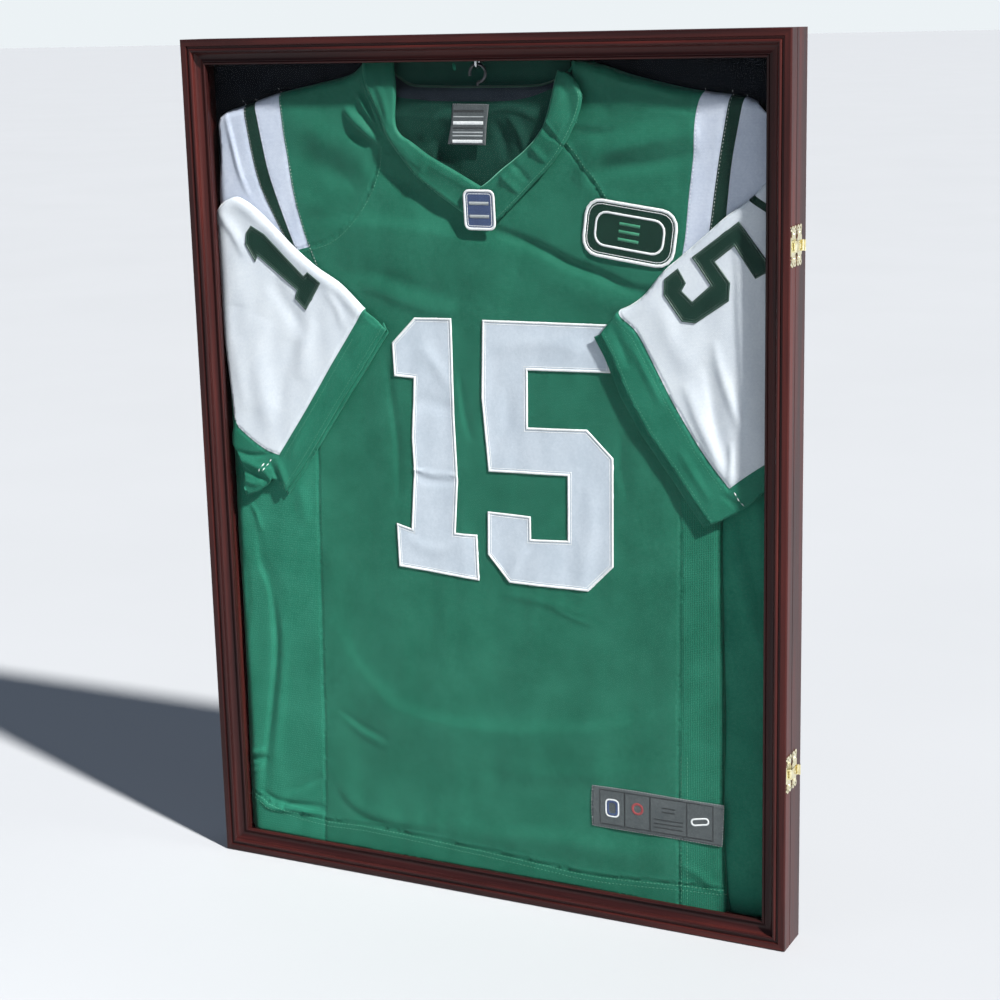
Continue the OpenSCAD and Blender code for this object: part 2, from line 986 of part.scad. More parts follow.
// Front view of the body of the garment, shoulders to hem, without the neck opening.
module jersey_outline() {
    polygon([
        [-trunk_reach, hem_height], [trunk_reach, hem_height], [trunk_reach, underarm_z],
        [shoulder_reach, underarm_z + 60], [shoulder_reach, shoulder_z - 12],
        [shoulder_reach - 12, shoulder_z], [neck_reach, neck_side_z],
        [-neck_reach, neck_side_z - 3], [-shoulder_reach + 12, shoulder_z - 4],
        [-shoulder_reach, shoulder_z - 16], [-shoulder_reach, underarm_z + 60],
        [-trunk_reach, underarm_z]
    ]);
}

// The V of the neck opening, with its rounded upper sides.
module neck_outline(grow) {
    polygon([
        [0, neck_point - 1.3 * grow], [neck_reach - 12 + grow, 732],
        [neck_reach + grow, 752], [neck_reach + grow, 830],
        [-neck_reach - grow, 830], [-neck_reach - grow, 752], [-neck_reach + 12 - grow, 732]
    ]);
}

module jersey_body() {
    color(jersey_colour)
        difference() {
            front_slab(jersey_front_y, jersey_back_y)
                jersey_outline();
            front_slab(pocket_front_y, pocket_back_y)
                polygon([
                    [-pocket_reach, pocket_low], [pocket_reach, pocket_low],
                    [pocket_reach, shoulder_z - 10], [neck_reach, neck_side_z - 10],
                    [-neck_reach, neck_side_z - 13], [-pocket_reach, shoulder_z - 14]
                ]);
            front_slab(jersey_front_y - 1, pocket_back_y)
                neck_outline(collar_w / 2);
            // Beside the fold on the right only the back of the garment is left.
            front_slab(jersey_front_y - 1, side_layer_y)
                translate([side_fold_x, hem_height - 1])
                    square([trunk_reach, underarm_z - hem_height - 60]);
        }
}

module jersey_collar() {
    color(trim_colour) {
        front_slab(collar_front_y, collar_back_y)
            difference() {
                intersection() {
                    neck_outline(collar_w);
                    jersey_outline();
                }
                neck_outline(0);
            }
        front_slab(jersey_back_y - 2.4, jersey_back_y)
            translate([-neck_reach, neck_side_z + 0.3])
                square([2 * neck_reach, 18]);
    }
}

// The right sleeve hangs in front of the body, folded down from the shoulder.
module sleeve_outline() {
    polygon([
        [shoulder_reach, 692], [shoulder_reach - 8, 692], [200, 630], [130, 570], [112, 556],
        [229, 386], [shoulder_reach, 432]
    ]);
}

module jersey_sleeve_left() {
    color(sleeve_colour)
        front_slab(sleeve_front_y, sleeve_back_y)
            mirror([1, 0])
                sleeve_outline();
}

module jersey_sleeve_right() {
    color(sleeve_colour)
        front_slab(sleeve_front_y, sleeve_back_y)
            sleeve_outline();
}

case_rail_bottom();
case_side_left();
case_rail_top();
case_side_right();
back_panel();
back_panel_screws();
felt_backing();
keyhole_plate_left();
keyhole_plate_right();
keyhole_plate_screws();
hinge_lower_case_leaf();
hinge_middle_case_leaf();
hinge_upper_case_leaf();
hinge_lower_pin();
hinge_middle_pin();
hinge_upper_pin();
hinge_case_screws();
latch_lower_catch_plate();
latch_upper_catch_plate();
latch_catch_nails();
screw_hook();
jersey_hanger_bar();
jersey_hanger_wire();
jersey_body();
jersey_collar();
jersey_sleeve_left();
jersey_sleeve_right();
door_rail_bottom();
door_stile_left();
door_rail_top();
door_stile_right();
clear_panel();
glazing_bead_bottom();
glazing_bead_left();
glazing_bead_top();
glazing_bead_right();
glazing_brads();
hinge_lower_door_leaf();
hinge_middle_door_leaf();
hinge_upper_door_leaf();
hinge_door_screws();
latch_lower_door_plate();
latch_upper_door_plate();
latch_door_nails();
latch_lower_pin();
latch_upper_pin();
latch_lower_hasp();
latch_upper_hasp();
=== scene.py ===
import math

import bpy
import numpy as np
from mathutils import Matrix, Vector
from mathutils.geometry import delaunay_2d_cdt
from mathutils.kdtree import KDTree

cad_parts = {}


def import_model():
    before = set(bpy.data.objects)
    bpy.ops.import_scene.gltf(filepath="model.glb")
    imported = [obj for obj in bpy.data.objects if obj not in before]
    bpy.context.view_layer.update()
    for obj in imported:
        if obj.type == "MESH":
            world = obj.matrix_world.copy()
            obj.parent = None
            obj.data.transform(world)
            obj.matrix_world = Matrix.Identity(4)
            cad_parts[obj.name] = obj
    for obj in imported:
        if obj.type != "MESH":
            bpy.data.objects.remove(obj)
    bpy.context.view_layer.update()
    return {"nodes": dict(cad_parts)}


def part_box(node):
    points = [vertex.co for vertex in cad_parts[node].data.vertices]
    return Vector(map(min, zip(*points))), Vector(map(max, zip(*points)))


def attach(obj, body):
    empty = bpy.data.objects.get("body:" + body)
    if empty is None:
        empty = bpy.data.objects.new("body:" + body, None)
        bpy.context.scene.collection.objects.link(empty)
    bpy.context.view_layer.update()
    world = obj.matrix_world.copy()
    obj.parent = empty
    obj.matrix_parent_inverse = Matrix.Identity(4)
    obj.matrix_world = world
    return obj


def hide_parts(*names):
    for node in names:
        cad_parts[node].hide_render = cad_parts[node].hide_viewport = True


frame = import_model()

# Lengths of the cloth are in millimetres: x from the middle, h up from the frame's
# bottom edge, and "proud" forward from the back of the frame.
MM = 0.001
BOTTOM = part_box("case_rail_bottom")[0].z
FELT_FRONT = -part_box("felt_backing")[0].y / MM
INSIDE_X = -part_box("felt_backing")[0].x / MM

# ---------------------------------------------------------------- camera

CAMERA_PLACE = Vector((0.8586, -1.6972, 0.0595))
CAMERA_FORWARD = Vector((-0.43735, 0.86902, -0.23135))
CAMERA_UP = Vector((-0.08170, 0.21780, 0.97257))
CAMERA_LENS = 73.73

right = CAMERA_FORWARD.cross(CAMERA_UP).normalized()
up = right.cross(CAMERA_FORWARD).normalized()
turn = Matrix((right, up, -CAMERA_FORWARD.normalized())).transposed()
camera_data = bpy.data.cameras.new("camera")
camera_data.lens = CAMERA_LENS
camera_data.sensor_width = 36
camera = bpy.data.objects.new("camera", camera_data)
camera.matrix_world = Matrix.Translation(CAMERA_PLACE) @ turn.to_4x4()
bpy.context.scene.collection.objects.link(camera)
bpy.context.scene.camera = camera
bpy.context.scene.view_settings.view_transform = "Standard"

# ---------------------------------------------------------------- materials


class Paint:
    """One procedural material, with short ways to add and join its nodes."""

    def __init__(self, name, **sockets):
        self.material = bpy.data.materials.new(name)
        self.material.use_nodes = True
        self.tree = self.material.node_tree
        self.shader = self.tree.nodes["Principled BSDF"]
        for socket, value in sockets.items():
            self.shader.inputs[socket.replace("_", " ")].default_value = value
        self.place = self.tree.nodes.new("ShaderNodeTexCoord").outputs["Object"]

    def node(self, kind, settings=(), **inputs):
        """Adds a node. An input is a value or an output to link, by the socket's name or as _number."""
        made = self.tree.nodes.new("ShaderNode" + kind)
        for key, value in dict(settings).items():
            setattr(made, key, value)
        for key, value in inputs.items():
            socket = made.inputs[int(key[1:])] if key[1:].isdigit() else made.inputs[key.replace("_", " ")]
            if isinstance(value, bpy.types.NodeSocket):
                self.tree.links.new(value, socket)
            else:
                socket.default_value = value
        return made.outputs[0]

    def scaled(self, scale, rotation=(0, 0, 0)):
        return self.node("Mapping", Vector=self.place, Scale=scale, Rotation=rotation)

    def noise(self, scale, stretch=(1, 1, 1), detail=3.0, roughness=0.55):
        """Noise in the piece's own metres, drawn out along any axis whose stretch is small."""
        place = self.scaled(stretch)
        return self.node("TexNoise", Vector=place, Scale=scale, Detail=detail, Roughness=roughness)

    def ramp(self, factor, stops):
        """Colours at places along a factor."""
        made = self.tree.nodes.new("ShaderNodeValToRGB")
        band = made.color_ramp
        while len(band.elements) < len(stops):
            band.elements.new(0.5)
        for element, (place, colour) in zip(band.elements, stops):
            element.position = place
            element.color = (*colour, 1)
        self.tree.links.new(factor, made.inputs[0])
        return made.outputs[0]

    def maths(self, operation, a, b):
        return self.node("Math", {"operation": operation}, _0=a, _1=b)

    def blend(self, a, share_of_a, b, share_of_b):
        """The sum of two outputs, each times its share."""
        scaled_a = self.maths("MULTIPLY", a, share_of_a)
        scaled_b = self.maths("MULTIPLY", b, share_of_b)
        return self.maths("ADD", scaled_a, scaled_b)

    def multiplied(self, a, b):
        return self.node("MixRGB", {"blend_type": "MULTIPLY"}, Fac=1.0, Color1=a, Color2=b)

    def colour(self, output):
        self.tree.links.new(output, self.shader.inputs["Base Color"])

    def rough(self, factor, low, high):
        output = self.node("MapRange", Value=factor, To_Min=low, To_Max=high)
        self.tree.links.new(output, self.shader.inputs["Roughness"])

    def bump(self, height, strength, distance):
        output = self.node("Bump", Height=height, Strength=strength, Distance=distance)
        self.tree.links.new(output, self.shader.inputs["Normal"])


def lacquered_wood(name, axis):
    """Dark red mahogany under lacquer, with its grain along one axis."""
    paint = Paint(name, Roughness=0.36, Coat_Weight=0.14, Coat_Roughness=0.10, Specular_IOR_Level=0.14)
    along = [1.0, 1.0, 1.0]
    along[axis] = 0.035
    grain = paint.noise(95, along, 6, 0.62)
    figure = paint.noise(14, along, 3, 0.5)
    tones = [
        (0.34, (0.009, 0.0034, 0.0038)),
        (0.50, (0.026, 0.0066, 0.0066)),
        (0.62, (0.062, 0.0120, 0.0105)),
        (0.78, (0.110, 0.0210, 0.0160)),
    ]
    paint.colour(paint.ramp(paint.blend(grain, 0.62, figure, 0.42), tones))
    pores = paint.noise(520, along, 4, 0.7)
    paint.rough(grain, 0.27, 0.46)
    paint.bump(paint.maths("ADD", pores, paint.maths("MULTIPLY", grain, 0.6)), 0.22, 0.0005)
    return paint.material


def metal(name, dark, light, low, high, scale, emboss):
    """Tarnished metal, rough between low and high, with fine scratches and hammer marks."""
    paint = Paint(name, Metallic=1.0)
    tarnish = paint.noise(scale, detail=5)
    paint.colour(paint.ramp(tarnish, [(0.32, dark), (0.62, light)]))
    paint.rough(paint.noise(scale * 2.3, detail=4), low, high)
    scratches = paint.noise(900, (1, 1, 0.08), 3, 0.6)
    hammer = paint.noise(430, detail=2)
    paint.bump(paint.blend(scratches, 0.3, hammer, emboss), 0.5, 0.0004)
    return paint.material


def felt_material():
    """Dark felt with a soft bluish sheen."""
    paint = Paint("felt", Roughness=0.95, Specular_IOR_Level=0.1, Sheen_Weight=0.06, Sheen_Roughness=0.5)
    paint.shader.inputs["Sheen Tint"].default_value = (0.30, 0.36, 0.50, 1)
    fibres = paint.noise(620, (1, 1, 1), 5, 0.75)
    cloud = paint.noise(32, detail=3)
    both = paint.blend(fibres, 0.7, cloud, 0.3)
    paint.colour(paint.ramp(both, [(0.36, (0.0035, 0.0048, 0.0070)), (0.66, (0.012, 0.0155, 0.0225))]))
    paint.bump(fibres, 0.7, 0.0009)
    return paint.material


def hardboard_material():
    """Pressed brown fibres."""
    paint = Paint("hardboard", Roughness=0.72)
    fibres = paint.noise(260, (1, 1, 1), 6, 0.72)
    specks = paint.noise(900, detail=2)
    both = paint.blend(fibres, 0.7, specks, 0.3)
    tones = [(0.34, (0.085, 0.045, 0.022)), (0.55, (0.20, 0.115, 0.058)), (0.72, (0.31, 0.20, 0.11))]
    paint.colour(paint.ramp(both, tones))
    paint.rough(fibres, 0.6, 0.85)
    paint.bump(both, 0.4, 0.0006)
    return paint.material


def acrylic_material():
    """Thin clear sheet: it lets light straight through and shines on its outer faces only."""
    paint = Paint("clear_acrylic")
    tree = paint.tree
    tree.nodes.remove(paint.shader)
    clear = tree.nodes.new("ShaderNodeBsdfTransparent")
    clear.inputs["Color"].default_value = (0.965, 0.975, 0.975, 1)
    gloss = tree.nodes.new("ShaderNodeBsdfGlossy")
    gloss.inputs["Roughness"].default_value = 0.015
    haze = paint.noise(5, detail=2)
    paint_gloss = paint.ramp(haze, [(0.3, (0.90, 0.92, 0.93)), (0.7, (0.98, 0.99, 1.0))])
    tree.links.new(paint_gloss, gloss.inputs["Color"])
    fresnel = paint.node("Fresnel", IOR=1.12)
    facing_out = paint.maths("SUBTRACT", 1.0, tree.nodes.new("ShaderNodeNewGeometry").outputs["Backfacing"])
    mix = tree.nodes.new("ShaderNodeMixShader")
    tree.links.new(paint.maths("MULTIPLY", fresnel, facing_out), mix.inputs[0])
    tree.links.new(clear.outputs[0], mix.inputs[1])
    tree.links.new(gloss.outputs[0], mix.inputs[2])
    tree.links.new(mix.outputs[0], tree.nodes["Material Output"].inputs["Surface"])
    return paint.material


def plastic_material():
    """Dull black moulded plastic."""
    paint = Paint("hanger_plastic", Roughness=0.42)
    grain = paint.noise(700, detail=3)
    paint.colour(paint.ramp(grain, [(0.3, (0.010, 0.010, 0.012)), (0.7, (0.024, 0.024, 0.028))]))
    paint.rough(paint.noise(60), 0.34, 0.52)
    paint.bump(grain, 0.2, 0.0003)
    return paint.material


def fabric(name, dark, light, pitch, rough, sheen, weave=0.5, holes=False, turned=0.0):
    """Knitted or woven cloth: two crossing bands of yarn, uneven dye, and open cells in a mesh, darkened as
    painted shade.
    """
    paint = Paint(name, Roughness=rough, Sheen_Weight=sheen, Sheen_Roughness=0.42, Specular_IOR_Level=0.22)
    paint.shader.inputs["Sheen Tint"].default_value = (*[min(1.0, 3 * c + 0.2) for c in light], 1)
    spin = paint.scaled((1, 1, 1), (0, turned, 0))
    scale = math.pi / (10 * pitch)
    wales, rows = (
        paint.node("TexWave", {"bands_direction": way}, Vector=spin, Scale=size, Distortion=0.6, Detail=1)
        for way, size in (("X", scale), ("Z", scale * 0.8))
    )
    yarn = paint.multiplied(wales, rows)
    dye = paint.noise(26, detail=4)
    fuzz = paint.noise(420, detail=3)
    tone = paint.blend(yarn, 0.16, paint.blend(dye, 0.55, fuzz, 0.45), 0.9)
    colour = paint.ramp(tone, [(0.34, dark), (0.66, light)])
    height = paint.blend(yarn, weave, fuzz, 0.35)
    if holes:
        # A mesh's open cells are darkened: painted shade seen through the holes. They are also lower in the
        # bump.
        cells = paint.node("TexVoronoi", Vector=paint.scaled((1, 0.01, 1.35)), Scale=455.0, Randomness=0.12)
        shaded_open_cell = paint.ramp(cells, [(0.16, (0.30, 0.34, 0.32)), (0.42, (1, 1, 1))])
        colour = paint.multiplied(colour, shaded_open_cell)
        height = paint.maths("MULTIPLY", height, shaded_open_cell)
    paint.colour(colour)
    paint.bump(height, 0.30, 0.00035)
    return paint.material


def satin(name, dark, light):
    """Close embroidery thread, which shines across its stitches."""
    paint = Paint(name, Roughness=0.42, Sheen_Weight=0.3)
    thread = paint.noise(1500, (1, 1, 0.35), 3, 0.6)
    dye = paint.noise(60, detail=3)
    paint.colour(paint.ramp(paint.blend(thread, 0.6, dye, 0.4), [(0.36, dark), (0.62, light)]))
    paint.rough(thread, 0.34, 0.6)
    paint.bump(thread, 0.5, 0.0003)
    return paint.material


wood_across = lacquered_wood("mahogany_across", 0)
wood_upright = lacquered_wood("mahogany_upright", 2)
brass = metal("stamped_brass", (0.78, 0.68, 0.38), (1.0, 0.95, 0.68), 0.14, 0.34, 180, 0.9)
wire = metal("dull_wire", (0.05, 0.05, 0.055), (0.14, 0.14, 0.15), 0.35, 0.55, 150, 0.3)
steel = metal("bright_steel", (0.42, 0.43, 0.45), (0.78, 0.79, 0.81), 0.16, 0.36, 150, 0.3)
felt_paint = felt_material()
hardboard = hardboard_material()
acrylic = acrylic_material()
plastic = plastic_material()

knit_green = fabric("knit_green", (0.0096, 0.107, 0.0665), (0.0225, 0.164, 0.1070), 0.0011, 0.60, 0.30)
mesh_green = fabric(
    "mesh_green", (0.0110, 0.136, 0.0840), (0.0260, 0.206, 0.1340), 0.0014, 0.70, 0.25, 0.6, holes=True
)
side_green = fabric(
    "side_rib_green", (0.0120, 0.145, 0.0900), (0.0290, 0.220, 0.1450), 0.0019, 0.66, 0.28, 0.9
)
# The neck's inside is a darker green than the front's knit: painted shade where it lies deep behind the
# collar.
shaded_inner_green = fabric("shaded_inner_green", (0.003, 0.036, 0.025), (0.008, 0.060, 0.043), 0.0012, 0.80, 0.08)
# The back is a lighter green than the front's knit: painted light on the strip beside the frame's right
# side, which the frame shades.
back_green_painted_light = fabric("back_green_painted_light", (0.0120, 0.160, 0.1020), (0.0280, 0.240, 0.1560), 0.0012, 0.72, 0.22)
trim_green = fabric("trim_green", (0.004, 0.023, 0.016), (0.010, 0.044, 0.030), 0.0009, 0.66, 0.06)
cuff_green = fabric("cuff_green", (0.0095, 0.126, 0.0780), (0.0240, 0.190, 0.1235), 0.0010, 0.64, 0.28, 0.7)
knit_white = fabric("knit_white", (0.62, 0.66, 0.74), (0.76, 0.79, 0.85), 0.0010, 0.62, 0.20)
stripe_white = fabric("stripe_white", (0.50, 0.55, 0.69), (0.66, 0.70, 0.82), 0.0010, 0.60, 0.20)
twill_white = fabric("twill_white", (0.50, 0.56, 0.65), (0.64, 0.69, 0.78), 0.0008, 0.48, 0.30, turned=0.7)
tape_slate = fabric("tape_slate", (0.012, 0.018, 0.027), (0.028, 0.038, 0.052), 0.0009, 0.70, 0.05)
tag_grey = fabric("tag_grey", (0.070, 0.080, 0.086), (0.116, 0.128, 0.136), 0.0007, 0.60, 0.25, 0.8)
thread_white = satin("thread_white", (0.66, 0.67, 0.70), (0.92, 0.92, 0.94))
thread_dark = satin("thread_dark", (0.006, 0.030, 0.020), (0.016, 0.060, 0.042))
thread_green = satin("thread_green", (0.020, 0.170, 0.090), (0.060, 0.300, 0.180))
thread_shadow = satin("thread_shadow", (0.004, 0.040, 0.022), (0.010, 0.080, 0.045))
thread_black = satin("thread_black", (0.008, 0.010, 0.012), (0.022, 0.024, 0.028))
thread_blue = satin("thread_blue", (0.020, 0.040, 0.120), (0.045, 0.080, 0.200))
thread_red = satin("thread_red", (0.190, 0.020, 0.026), (0.360, 0.050, 0.055))
thread_silver = satin("thread_silver", (0.30, 0.32, 0.34), (0.50, 0.52, 0.54))


def paint_for(node):
    """The material of a CAD part, by its name and the run of its grain."""
    if node.startswith(("case_", "door_", "glazing_bead")):
        return wood_across if node.endswith(("bottom", "top")) else wood_upright
    if node.startswith(("hinge_", "latch_")):
        return brass
    return {
        "back_panel": hardboard,
        "felt_backing": felt_paint,
        "clear_panel": acrylic,
        "jersey_hanger_bar": plastic,
        "jersey_hanger_wire": wire,
    }.get(node, steel)


for node_name, node_object in frame["nodes"].items():
    finish = paint_for(node_name)
    for material_slot in node_object.material_slots:
        material_slot.material = finish

# ---------------------------------------------------------------- curves and reliefs

chance = np.random.default_rng(15)


def smooth(points, steps=6):
    """A Catmull-Rom curve through the points."""
    p = np.asarray(points, float)
    last = len(p) - 1
    out = []
    for i in range(last):
        a, b, c, d = (p[min(max(i + k, 0), last)] for k in (-1, 0, 1, 2))
        for t in np.arange(steps) / steps:
            square = (2 * a - 5 * b + 4 * c - d) * t**2
            cube = (3 * b - a - 3 * c + d) * t**3
            out.append(0.5 * (2 * b + (c - a) * t + square + cube))
    out.append(p[-1])
    return np.array(out)


def resample(points, pitch, closed=False):
    """Points at most a pitch apart, which keep every corner."""
    p = np.asarray(points, float)
    ends = np.roll(p, -1, 0) if closed else p[1:]
    out = []
    for a, b in zip(p, ends):
        parts = max(1, math.ceil(np.linalg.norm(b - a) / pitch))
        out.extend(a + (b - a) * k / parts for k in range(parts))
    if not closed:
        out.append(p[-1])
    return np.array(out)


def inside(loop, x, h):
    """Which points lie inside a closed loop."""
    p = np.asarray(loop, float)
    q = np.roll(p, -1, 0)
    odd = np.zeros(np.shape(x), bool)
    for (ax, ah), (bx, bh) in zip(p, q):
        if ah != bh:
            crosses = (ah > h) != (bh > h)
            odd ^= crosses & (x < (bx - ax) * (h - ah) / (bh - ah) + ax)
    return odd


def along(line, x, h):
    """Signed distance from a line, positive to its left, and the share of its length reached."""
    p = np.asarray(line, float)
    steps = np.diff(p, axis=0)
    lengths = np.maximum(np.linalg.norm(steps, axis=1), 1e-6)
    starts = np.concatenate([[0], np.cumsum(lengths)])
    best = np.full(np.shape(x), 1e9)
    signed = np.full(np.shape(x), 1e9)
    share = np.zeros(np.shape(x))
    for (ax, ah), (dx, dh), length, start in zip(p, steps, lengths, starts):
        t = np.clip(((x - ax) * dx + (h - ah) * dh) / length**2, 0, 1)
        away = np.hypot(x - ax - t * dx, h - ah - t * dh)
        closer = away < best
        best = np.where(closer, away, best)
        side = np.where(dx * (h - ah) - dh * (x - ax) >= 0, 1, -1)
        signed = np.where(closer, away * side, signed)
        share = np.where(closer, (start + t * length) / starts[-1], share)
    return signed, share


def side_of(line, x, h):
    """Signed distance from a line, positive to its left."""
    return along(line, x, h)[0]


def bell(distance, width):
    """1 at no distance, falling away over a width."""
    return np.exp(-((distance / width) ** 2))


def fold(x, h, points, width, height, back=None, ends=0.6):
    """A soft ridge, or a crease where height is negative, that fades out at its ends.
    back is the width on the line's left where the two sides differ."""
    line = smooth(points, steps=4)
    reach = 3 * max(width, back or width)
    low, high = line.min(0) - reach, line.max(0) + reach
    near = (x > low[0]) & (x < high[0]) & (h > low[1]) & (h < high[1])
    out = np.zeros(np.shape(x))
    if near.any():
        d, t = along(line, x[near], h[near])
        spread = np.where(d > 0, back or width, width)
        fade = np.clip(np.sin(np.pi * np.clip(t, 0.001, 0.999)), 0, 1) ** ends
        out[near] = height * bell(d, spread) * fade
    return out


def folds(x, h, table):
    """The relief of a table of folds, each row holding its line, width, height and what else it sets."""
    return sum(fold(x, h, *row) for row in table)


def groove(x, h, line, depth, width, lip=0.0):
    """A sewn seam: a narrow groove with a low lip of cloth on its left."""
    d = side_of(line, x, h)
    return -depth * bell(d, width) + lip * bell(d - 2.2 * width, 1.6 * width)


def roll(distance, width, drop):
    """How far cloth falls back as it rolls over an edge."""
    reach = np.clip(1 - np.abs(distance) / width, 0, 1)
    return drop * (1 - np.sqrt(1 - reach**2 * 0.998))


def ripples(seed, wavelength, height, stretch, count=14):
    """Slow seeded unevenness, longer along the cloth's hang than across it."""
    dice = np.random.default_rng(seed)
    turns = dice.uniform(-0.5, 0.5, count)
    scales = dice.uniform(0.6, 1.7, count) / wavelength
    phases = dice.uniform(0, 2 * np.pi, count)
    sizes = dice.uniform(0.4, 1.0, count)
    sizes *= height / sizes.sum() * 2.2

    def field(x, h):
        total = np.zeros(np.shape(x))
        for angle, scale, phase, size in zip(turns, scales, phases, sizes):
            run = x * math.cos(angle) + h * math.sin(angle) / stretch
            total += size * np.cos(2 * np.pi * scale * run + phase)
        return total

    return field


# ---------------------------------------------------------------- mesh builders


def link_mesh(name, vertices, faces, materials, face_materials=None, smooth_faces=True):
    """A mesh object in the scene, with its materials."""
    mesh = bpy.data.meshes.new(name)
    mesh.from_pydata([tuple(v) for v in vertices], [], [tuple(f) for f in faces])
    for material in materials:
        mesh.materials.append(material)
    if face_materials is not None:
        mesh.polygons.foreach_set("material_index", np.asarray(face_materials, np.int32))
    mesh.polygons.foreach_set("use_smooth", np.full(len(mesh.polygons), smooth_faces))
    mesh.update()
    made = bpy.data.objects.new(name, mesh)
    bpy.context.scene.collection.objects.link(made)
    return made


def world(x, proud, h):
    """Points in the frame's metres from cloth lengths in millimetres."""
    return np.column_stack([np.asarray(x) * MM, -np.asarray(proud) * MM, BOTTOM + np.asarray(h) * MM])


# All in pitches of the cloth's mesh: how far the fine mesh reaches from an edge and from a detail line,
# how far free points stay from an edge, and how far they are shaken off their grid.
EDGE_REACH = 5
DETAIL_REACH = 6
CLEAR_OF_EDGE = 0.6
JITTER = 0.12


def cloth(name, outline, proud, pitch, materials, paint=None, lines=(), detail=(), thick=0.6):
    """A cloth layer cut to an outline and laid on a relief. Lines are cut into it as edges, and the
    mesh is twice as fine within reach of them and of the detail lines. paint gives each face's material."""
    outline = np.asarray(outline, float)
    fixed = [resample(outline, pitch, True)]
    edges = [(i, (i + 1) % len(fixed[0])) for i in range(len(fixed[0]))]
    total = len(fixed[0])
    for line in lines:
        points = resample(line, pitch)
        points = points[inside(outline, points[:, 0], points[:, 1])]
        edges.extend((total + i, total + i + 1) for i in range(len(points) - 1))
        fixed.append(points)
        total += len(points)
    fixed = np.concatenate(fixed)
    low, high = outline.min(0), outline.max(0)
    rise = pitch * math.sqrt(3) / 2
    rows = np.arange(int((high[1] - low[1]) / rise) + 2)
    columns = np.arange(int((high[0] - low[0]) / pitch) + 2)
    column, row = np.meshgrid(columns, rows)
    x = (low[0] + (column + 0.5 * (row % 2)) * pitch).ravel()
    h = (low[1] + row * rise).ravel()
    coarse = ((row % 4 == 0) & (column % 2 == 0) | (row % 4 == 2) & (column % 2 == 1)).ravel()
    dice = np.random.default_rng(7)
    x, h = (grid + dice.uniform(-JITTER, JITTER, len(grid)) * pitch for grid in (x, h))
    keep = inside(outline, x, h)
    x, h, coarse = x[keep], h[keep], coarse[keep]
    tree = KDTree(len(fixed))
    for i, (a, b) in enumerate(fixed):
        tree.insert((a, b, 0), i)
    tree.balance()
    gap = np.array([tree.find((a, b, 0))[2] for a, b in zip(x, h)])
    fine = gap < EDGE_REACH * pitch
    reach = DETAIL_REACH * pitch
    for line in detail:
        line = smooth(line, steps=3)
        start, end = line.min(0) - reach, line.max(0) + reach
        near = ~fine & (x > start[0]) & (x < end[0]) & (h > start[1]) & (h < end[1])
        fine[near] = np.abs(side_of(line, x[near], h[near])) < reach
    keep = (gap > CLEAR_OF_EDGE * pitch) & (fine | coarse)
    points = np.concatenate([fixed, np.column_stack([x[keep], h[keep]])])
    found = delaunay_2d_cdt([Vector(p) for p in points], edges, [], 0, 1e-4)
    flat = np.array([tuple(v) for v in found[0]])
    faces = np.array([f for f in found[2] if len(f) == 3])
    centre = flat[faces].mean(1)
    faces = faces[inside(outline, centre[:, 0], centre[:, 1])]
    used = np.unique(faces)
    number = np.full(len(flat), -1)
    number[used] = np.arange(len(used))
    faces = number[faces]
    flat = flat[used]
    centre = flat[faces].mean(1)
    skins = paint(centre[:, 0], centre[:, 1]) if paint else None
    vertices = world(flat[:, 0], proud(flat[:, 0], flat[:, 1]), flat[:, 1])
    made = link_mesh(name, vertices, faces, materials, skins)
    solid = made.modifiers.new("thickness", "SOLIDIFY")
    solid.thickness = thick * MM
    solid.offset = -1
    return made


def corner_normals(points, closed):
    """Unit steps to the left of a line at each of its points, long enough at corners to keep width."""
    p = np.asarray(points, float)
    if closed:
        before, after = p - np.roll(p, 1, 0), np.roll(p, -1, 0) - p
    else:
        steps = np.diff(p, axis=0)
        before = np.concatenate([steps[:1], steps])
        after = np.concatenate([steps, steps[-1:]])
    before = before / np.maximum(np.linalg.norm(before, axis=1, keepdims=True), 1e-6)
    after = after / np.maximum(np.linalg.norm(after, axis=1, keepdims=True), 1e-6)
    left = np.column_stack([-(before + after)[:, 1], (before + after)[:, 0]])
    left /= np.maximum(np.linalg.norm(left, axis=1, keepdims=True), 1e-6)
    first = np.column_stack([-before[:, 1], before[:, 0]])
    return left / np.maximum((left * first).sum(1, keepdims=True), 0.5)


def raised_band(name, line, proud, width, height, material, pitch=1.0, shift=0.0, closed=True, tooth=0.10):
    """A raised line of close satin stitches laid along a line on the cloth."""
    points = resample(line, pitch, closed)
    left = corner_normals(points, closed)
    # the band's section: five rails, by their place across its width and their share of its height
    across = np.array([-0.5, -0.34, 0.0, 0.34, 0.5])
    shape = np.array([-0.12, 0.72, 1.0, 0.72, -0.12])
    count = len(points)
    jag = np.where(np.arange(count) % 2 == 0, 1.0, 1.0 - tooth)
    fray = chance.uniform(-0.06, 0.06, (count, 2))
    vertices = []
    for k, (a, s) in enumerate(zip(across, shape)):
        wide = a * width
        if k in (0, 4):
            wide = wide * (1 + fray[:, k // 4]) * (0.5 + 0.5 * jag)
        x, h = (points + left * np.reshape(shift + wide, (-1, 1))).T
        vertices.append(world(x, proud(x, h) + s * height * jag, h))
    vertices = np.concatenate(vertices)
    spans = count if closed else count - 1
    faces = []
    for k in range(4):
        for i in range(spans):
            j = (i + 1) % count
            faces.append((k * count + i, k * count + j, (k + 1) * count + j, (k + 1) * count + i))
    return link_mesh(name, vertices, faces, [material])


